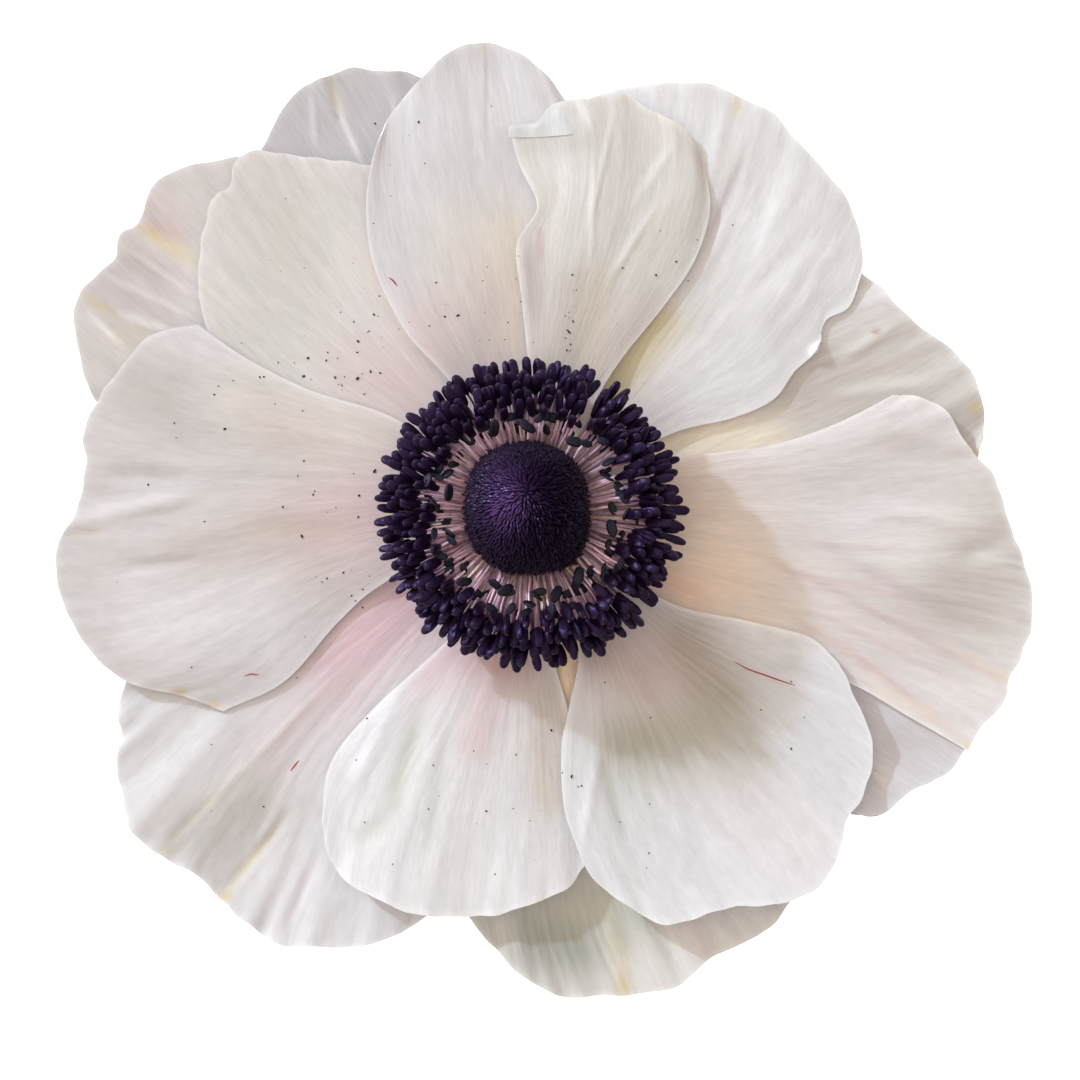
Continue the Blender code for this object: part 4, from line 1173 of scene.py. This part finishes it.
def land(places, names=tuple(TEPALS)):
    """Height of the topmost of the named tepals at each place, or -inf beside them."""
    top = np.full(len(places), -np.inf)
    for name in names:
        cloud = surfaces[name].reshape(-1, 3)
        east, north = (places[:, None, axis] - cloud[None, :, axis] for axis in (0, 1))
        gap = east**2 + north**2
        near = np.exp(-gap / LANDING_RADIUS**2)
        height = (near @ cloud[:, 2]) / np.maximum(near.sum(axis=1), 1e-12)
        top = np.where(gap.min(axis=1) < LANDING_RADIUS**2, np.maximum(top, height), top)
    return top


# drift of crumbs: middle, spread along x and y, number
DRIFTS = (
    ((-14.5, 14.5), (1.6, 2.2), 16), ((-18, 12.5), (2.0, 1.5), 12), ((3.6, 17.5), (0.5, 2.8), 15),
    ((-3.5, 18), (3.0, 3.0), 18), ((-25.5, 10.5), (3.5, 2.5), 12), ((-18, 2), (4.5, 3.0), 14),
    ((-20, 21), (6.0, 5.0), 16), ((-15.5, -6), (1.5, 2.0), 9), ((-3, -25), (7.0, 5.5), 15),
    ((6, -26), (5.0, 7.0), 12), ((-30, -3), (8.0, 6.0), 8), ((12, 22), (5.0, 6.0), 7),
    ((25, -24), (4.0, 5.0), 5), ((-22, -24), (7.0, 6.0), 5), ((-15, 33), (7.0, 4.0), 7),
)
CRUMB_RADIUS = 0.058
RING_EDGE = 14.2
draw = np.random.default_rng(21)
places = np.concatenate([
    np.array(middle) + np.array(spread) * draw.normal(0, 1, (count, 2))
    for middle, spread, count in DRIFTS
])
places = places[np.hypot(*places.T) > RING_EDGE]
floor_height = land(places)
places, floor_height = places[floor_height > 0], floor_height[floor_height > 0]
size = CRUMB_RADIUS * draw.lognormal(0, 0.38, len(places))
turn = draw.uniform(0, 2 * math.pi, len(places))
lean = np.stack([np.cos(turn), np.sin(turn), 0 * turn], axis=-1)
middle = np.column_stack([places, floor_height + TEPAL_THICKNESS / 2 + 0.5 * size])
along = np.array((-1.0, -0.6, 0.5, 1.0)) * draw.uniform(0.8, 1.6, len(places))[:, None]
spines = middle[:, None] + lean[:, None] * (size[:, None] * along)[..., None]
points, faces = rods(tubes(spines, size[:, None] * np.array((0.3, 0.9, 0.85, 0.25)), 5, flat=0.7))
crumb_skin = make_velvet(
    "dry pollen", (0.010, 0.007, 0.006, 1), (0.05, 0.03, 0.02, 1), (1, 1, 1, 1), 0.7
)
make_piece("pollen_crumbs", points, faces, crumb_skin, None)
print("crumbs of pollen:", len(places))

# %% [markdown]
# The top tepal's rim is folded back on itself at one corner. The flap is a patch of
# straight lines from the fold, which is on the rim, to the free edge, and it lies a little
# above the blade.

# %% The folded corner
FLAP_FOLD = ((-1.9, 35.1), (-1.2, 35.4), (0.3, 35.4), (1.3, 36.4), (2.4, 37.3), (4.3, 37.8))
FLAP_EDGE = ((-2.0, 34.1), (0.5, 34.15), (3.2, 34.35), (5.8, 34.7))
FLAP_STEPS = 48
FLAP_THICKNESS = 0.08
FLAP_GAP = 0.08
FLAP_RISE = 0.09
FLAP_DIP = 0.25
FLAP_COLOUR = WHITE * (0.99, 1.01, 1.03)
top_name = "tepal_top_north_northeast"
fold, free = (smooth_curve(points, FLAP_STEPS) for points in (FLAP_FOLD, FLAP_EDGE))
t = np.linspace(0, 1, FLAP_STEPS // 2 + 1)[:, None]
plan = fold[None] + (free - fold)[None] * t[..., None]
height = land(plan.reshape(-1, 2), (top_name,)).reshape(plan.shape[:2])
height = np.where(height > 0, height, height[height > 0].mean())
ripple = 0.015 * np.sin(np.linspace(0, 4 * math.pi, FLAP_STEPS + 1))[None, :] * t
raised = FLAP_GAP + FLAP_RISE * ease(t, 0, 0.4) + ripple
# its right end dips into the blade, where the fold ends
inside = ease(np.linspace(1, 0, FLAP_STEPS + 1), 0, 0.3)[None, :]
height = height + raised * inside - FLAP_DIP * (1 - inside)
points, faces = sheet(np.dstack([plan, height]), FLAP_THICKNESS)
flap = make_piece("tepal_top_flap", points, faces.tolist(), tepal_skin, None)
give_values(flap, "tint", np.tile(FLAP_COLOUR, (len(points), 1)))
uv = np.tile(plan.reshape(-1, 2), (2, 1))[faces.ravel()]
flap.data.uv_layers.new(name="veins").data.foreach_set("uv", uv.astype(np.float32).ravel())
print("flap faces:", len(faces))

# %% [markdown]
# A few tepals have a red scratch, where something grazed them and the sap dried. A scratch
# is finer than the grid of a tepal, so it can't be part of the tint. Each is a thin, flat
# rod instead, laid along the tepal and pointed at both ends.

# %% Scratches
SCRATCHES = (
    ((18.7, -13.8), (20.0, -14.5), (21.4, -15.0), (22.8, -15.5), (24.3, -16.0)),
    ((-22.1, -24), (-21.8, -23.6), (-21.3, -23.0)),
    ((-12.9, 21.3), (-12.5, 21.0), (-12.1, 20.5)),
    ((-26.3, -15.2), (-25.7, -15.0), (-24.9, -15.1)),
)
SCRATCH_RADIUS = 0.085
paths = np.stack([smooth_curve(points, 12) for points in SCRATCHES])
heights = land(paths.reshape(-1, 2)).reshape(paths.shape[:2]) + TEPAL_THICKNESS / 2
taper = np.sin(math.pi * np.linspace(0.06, 0.94, paths.shape[1])) ** 0.6
spines = np.dstack([paths, heights])
points, faces = rods(tubes(spines, SCRATCH_RADIUS * taper[None, :] + 0 * heights, 5, flat=0.5))
scratch_skin = make_velvet(
    "dried sap", (0.25, 0.01, 0.03, 1), (0.42, 0.05, 0.08, 1), (1, 1, 1, 1), 0.5
)
make_piece("scratches", points, faces, scratch_skin, None)
print("scratches:", len(SCRATCHES))

# %% [markdown]
# The bloom lies on a plain white floor, seen from straight above. A low, cool lamp shines
# from the upper left. The sky is warmer, and brightest on the lamp's side, so that the
# shades are soft and neither blue nor brown.

# %% The floor
FLOOR_HALF = 3.0


def make_floor():
    """A plain white floor, a little bright of itself, so that it stays white in soft shade."""
    mesh = bpy.data.meshes.new("floor")
    signs = ((-1, -1), (1, -1), (1, 1), (-1, 1))
    corners = [(FLOOR_HALF * x, FLOOR_HALF * y, 0) for x, y in signs]
    mesh.from_pydata(corners, [], [(0, 1, 2, 3)])
    material, tree, shader = new_material("white floor", 0.9)
    shader.inputs["Base Color"].default_value = (0.9, 0.9, 0.9, 1)
    shader.inputs["Emission Color"].default_value = (1, 1, 1, 1)
    shader.inputs["Emission Strength"].default_value = 1.0
    mesh.materials.append(material)
    floor = bpy.data.objects.new("floor", mesh)
    bpy.context.scene.collection.objects.link(floor)
    # it throws no light up through the tepals
    floor.visible_diffuse = False
    floor.visible_transmission = False


make_floor()
print("floor:", 2 * FLOOR_HALF, "m wide")

# %% Sky and lamp
LAMP_ELEVATION = math.radians(25.5)
LAMP_BEARING = math.radians(140)
LAMP_STRENGTH = 2.3
LAMP_COLOUR = (0.78, 1.0, 1.22)
LAMP_SPREAD = math.radians(2.6)
SKY_ELEVATION = math.radians(32)
SKY_COLOUR = (1.0, 0.92, 0.83, 1)
SKY_DIM = 0.2
SKY_BRIGHT = 1.68


def make_sky():
    """A pale sky that is brightest on the lamp's side and dim on the far side."""
    world = bpy.data.worlds.new("sky")
    world.use_nodes = True
    tree = world.node_tree
    bright = (
        math.cos(SKY_ELEVATION) * math.cos(LAMP_BEARING),
        math.cos(SKY_ELEVATION) * math.sin(LAMP_BEARING),
        math.sin(SKY_ELEVATION),
    )
    direction = add_node(tree, "ShaderNodeTexCoord").outputs["Generated"]
    facing = add_node(tree, "ShaderNodeVectorMath", [(0, direction)], operation="DOT_PRODUCT")
    facing.inputs[1].default_value = bright
    inputs = [("Value", facing.outputs["Value"]), ("From Min", -0.5), ("From Max", 1.0)]
    inputs += [("To Min", SKY_DIM), ("To Max", SKY_BRIGHT)]
    strength = add_node(tree, "ShaderNodeMapRange", inputs).outputs["Result"]
    background = tree.nodes["Background"]
    background.inputs["Color"].default_value = SKY_COLOUR
    tree.links.new(strength, background.inputs["Strength"])
    return world


bpy.context.scene.world = make_sky()
lamp = bpy.data.lights.new("soft lamp", "SUN")
lamp.energy = LAMP_STRENGTH
lamp.color = LAMP_COLOUR
lamp.angle = LAMP_SPREAD
lamp_object = bpy.data.objects.new("soft lamp", lamp)
lamp_object.rotation_euler = (0, math.pi / 2 - LAMP_ELEVATION, LAMP_BEARING)
bpy.context.scene.collection.objects.link(lamp_object)
bpy.context.scene.view_settings.view_transform = "Standard"
bpy.context.scene.view_settings.look = "None"
print("lamp elevation in degrees:", round(math.degrees(LAMP_ELEVATION), 1))

# %% [markdown]
# A long lens from far above keeps the bloom close to a plan. A short one would swell the
# dome and the stamens, which stand nearer to it than the tepals do.

# %% Camera
LENS = 135
SENSOR = 36
FRAME_WIDTH = 99.25 * MM
FRAME_MIDDLE = (0.92 * MM, -2.67 * MM)
FOCUS_HEIGHT = 5 * MM
distance = LENS / SENSOR * FRAME_WIDTH
camera_data = bpy.data.cameras.new("camera")
camera_data.lens = LENS
camera_data.sensor_width = SENSOR
camera = bpy.data.objects.new("camera", camera_data)
camera.location = (*FRAME_MIDDLE, FOCUS_HEIGHT + distance)
bpy.context.scene.collection.objects.link(camera)
bpy.context.scene.camera = camera
print("camera height in mm:", round(camera.location.z / MM))
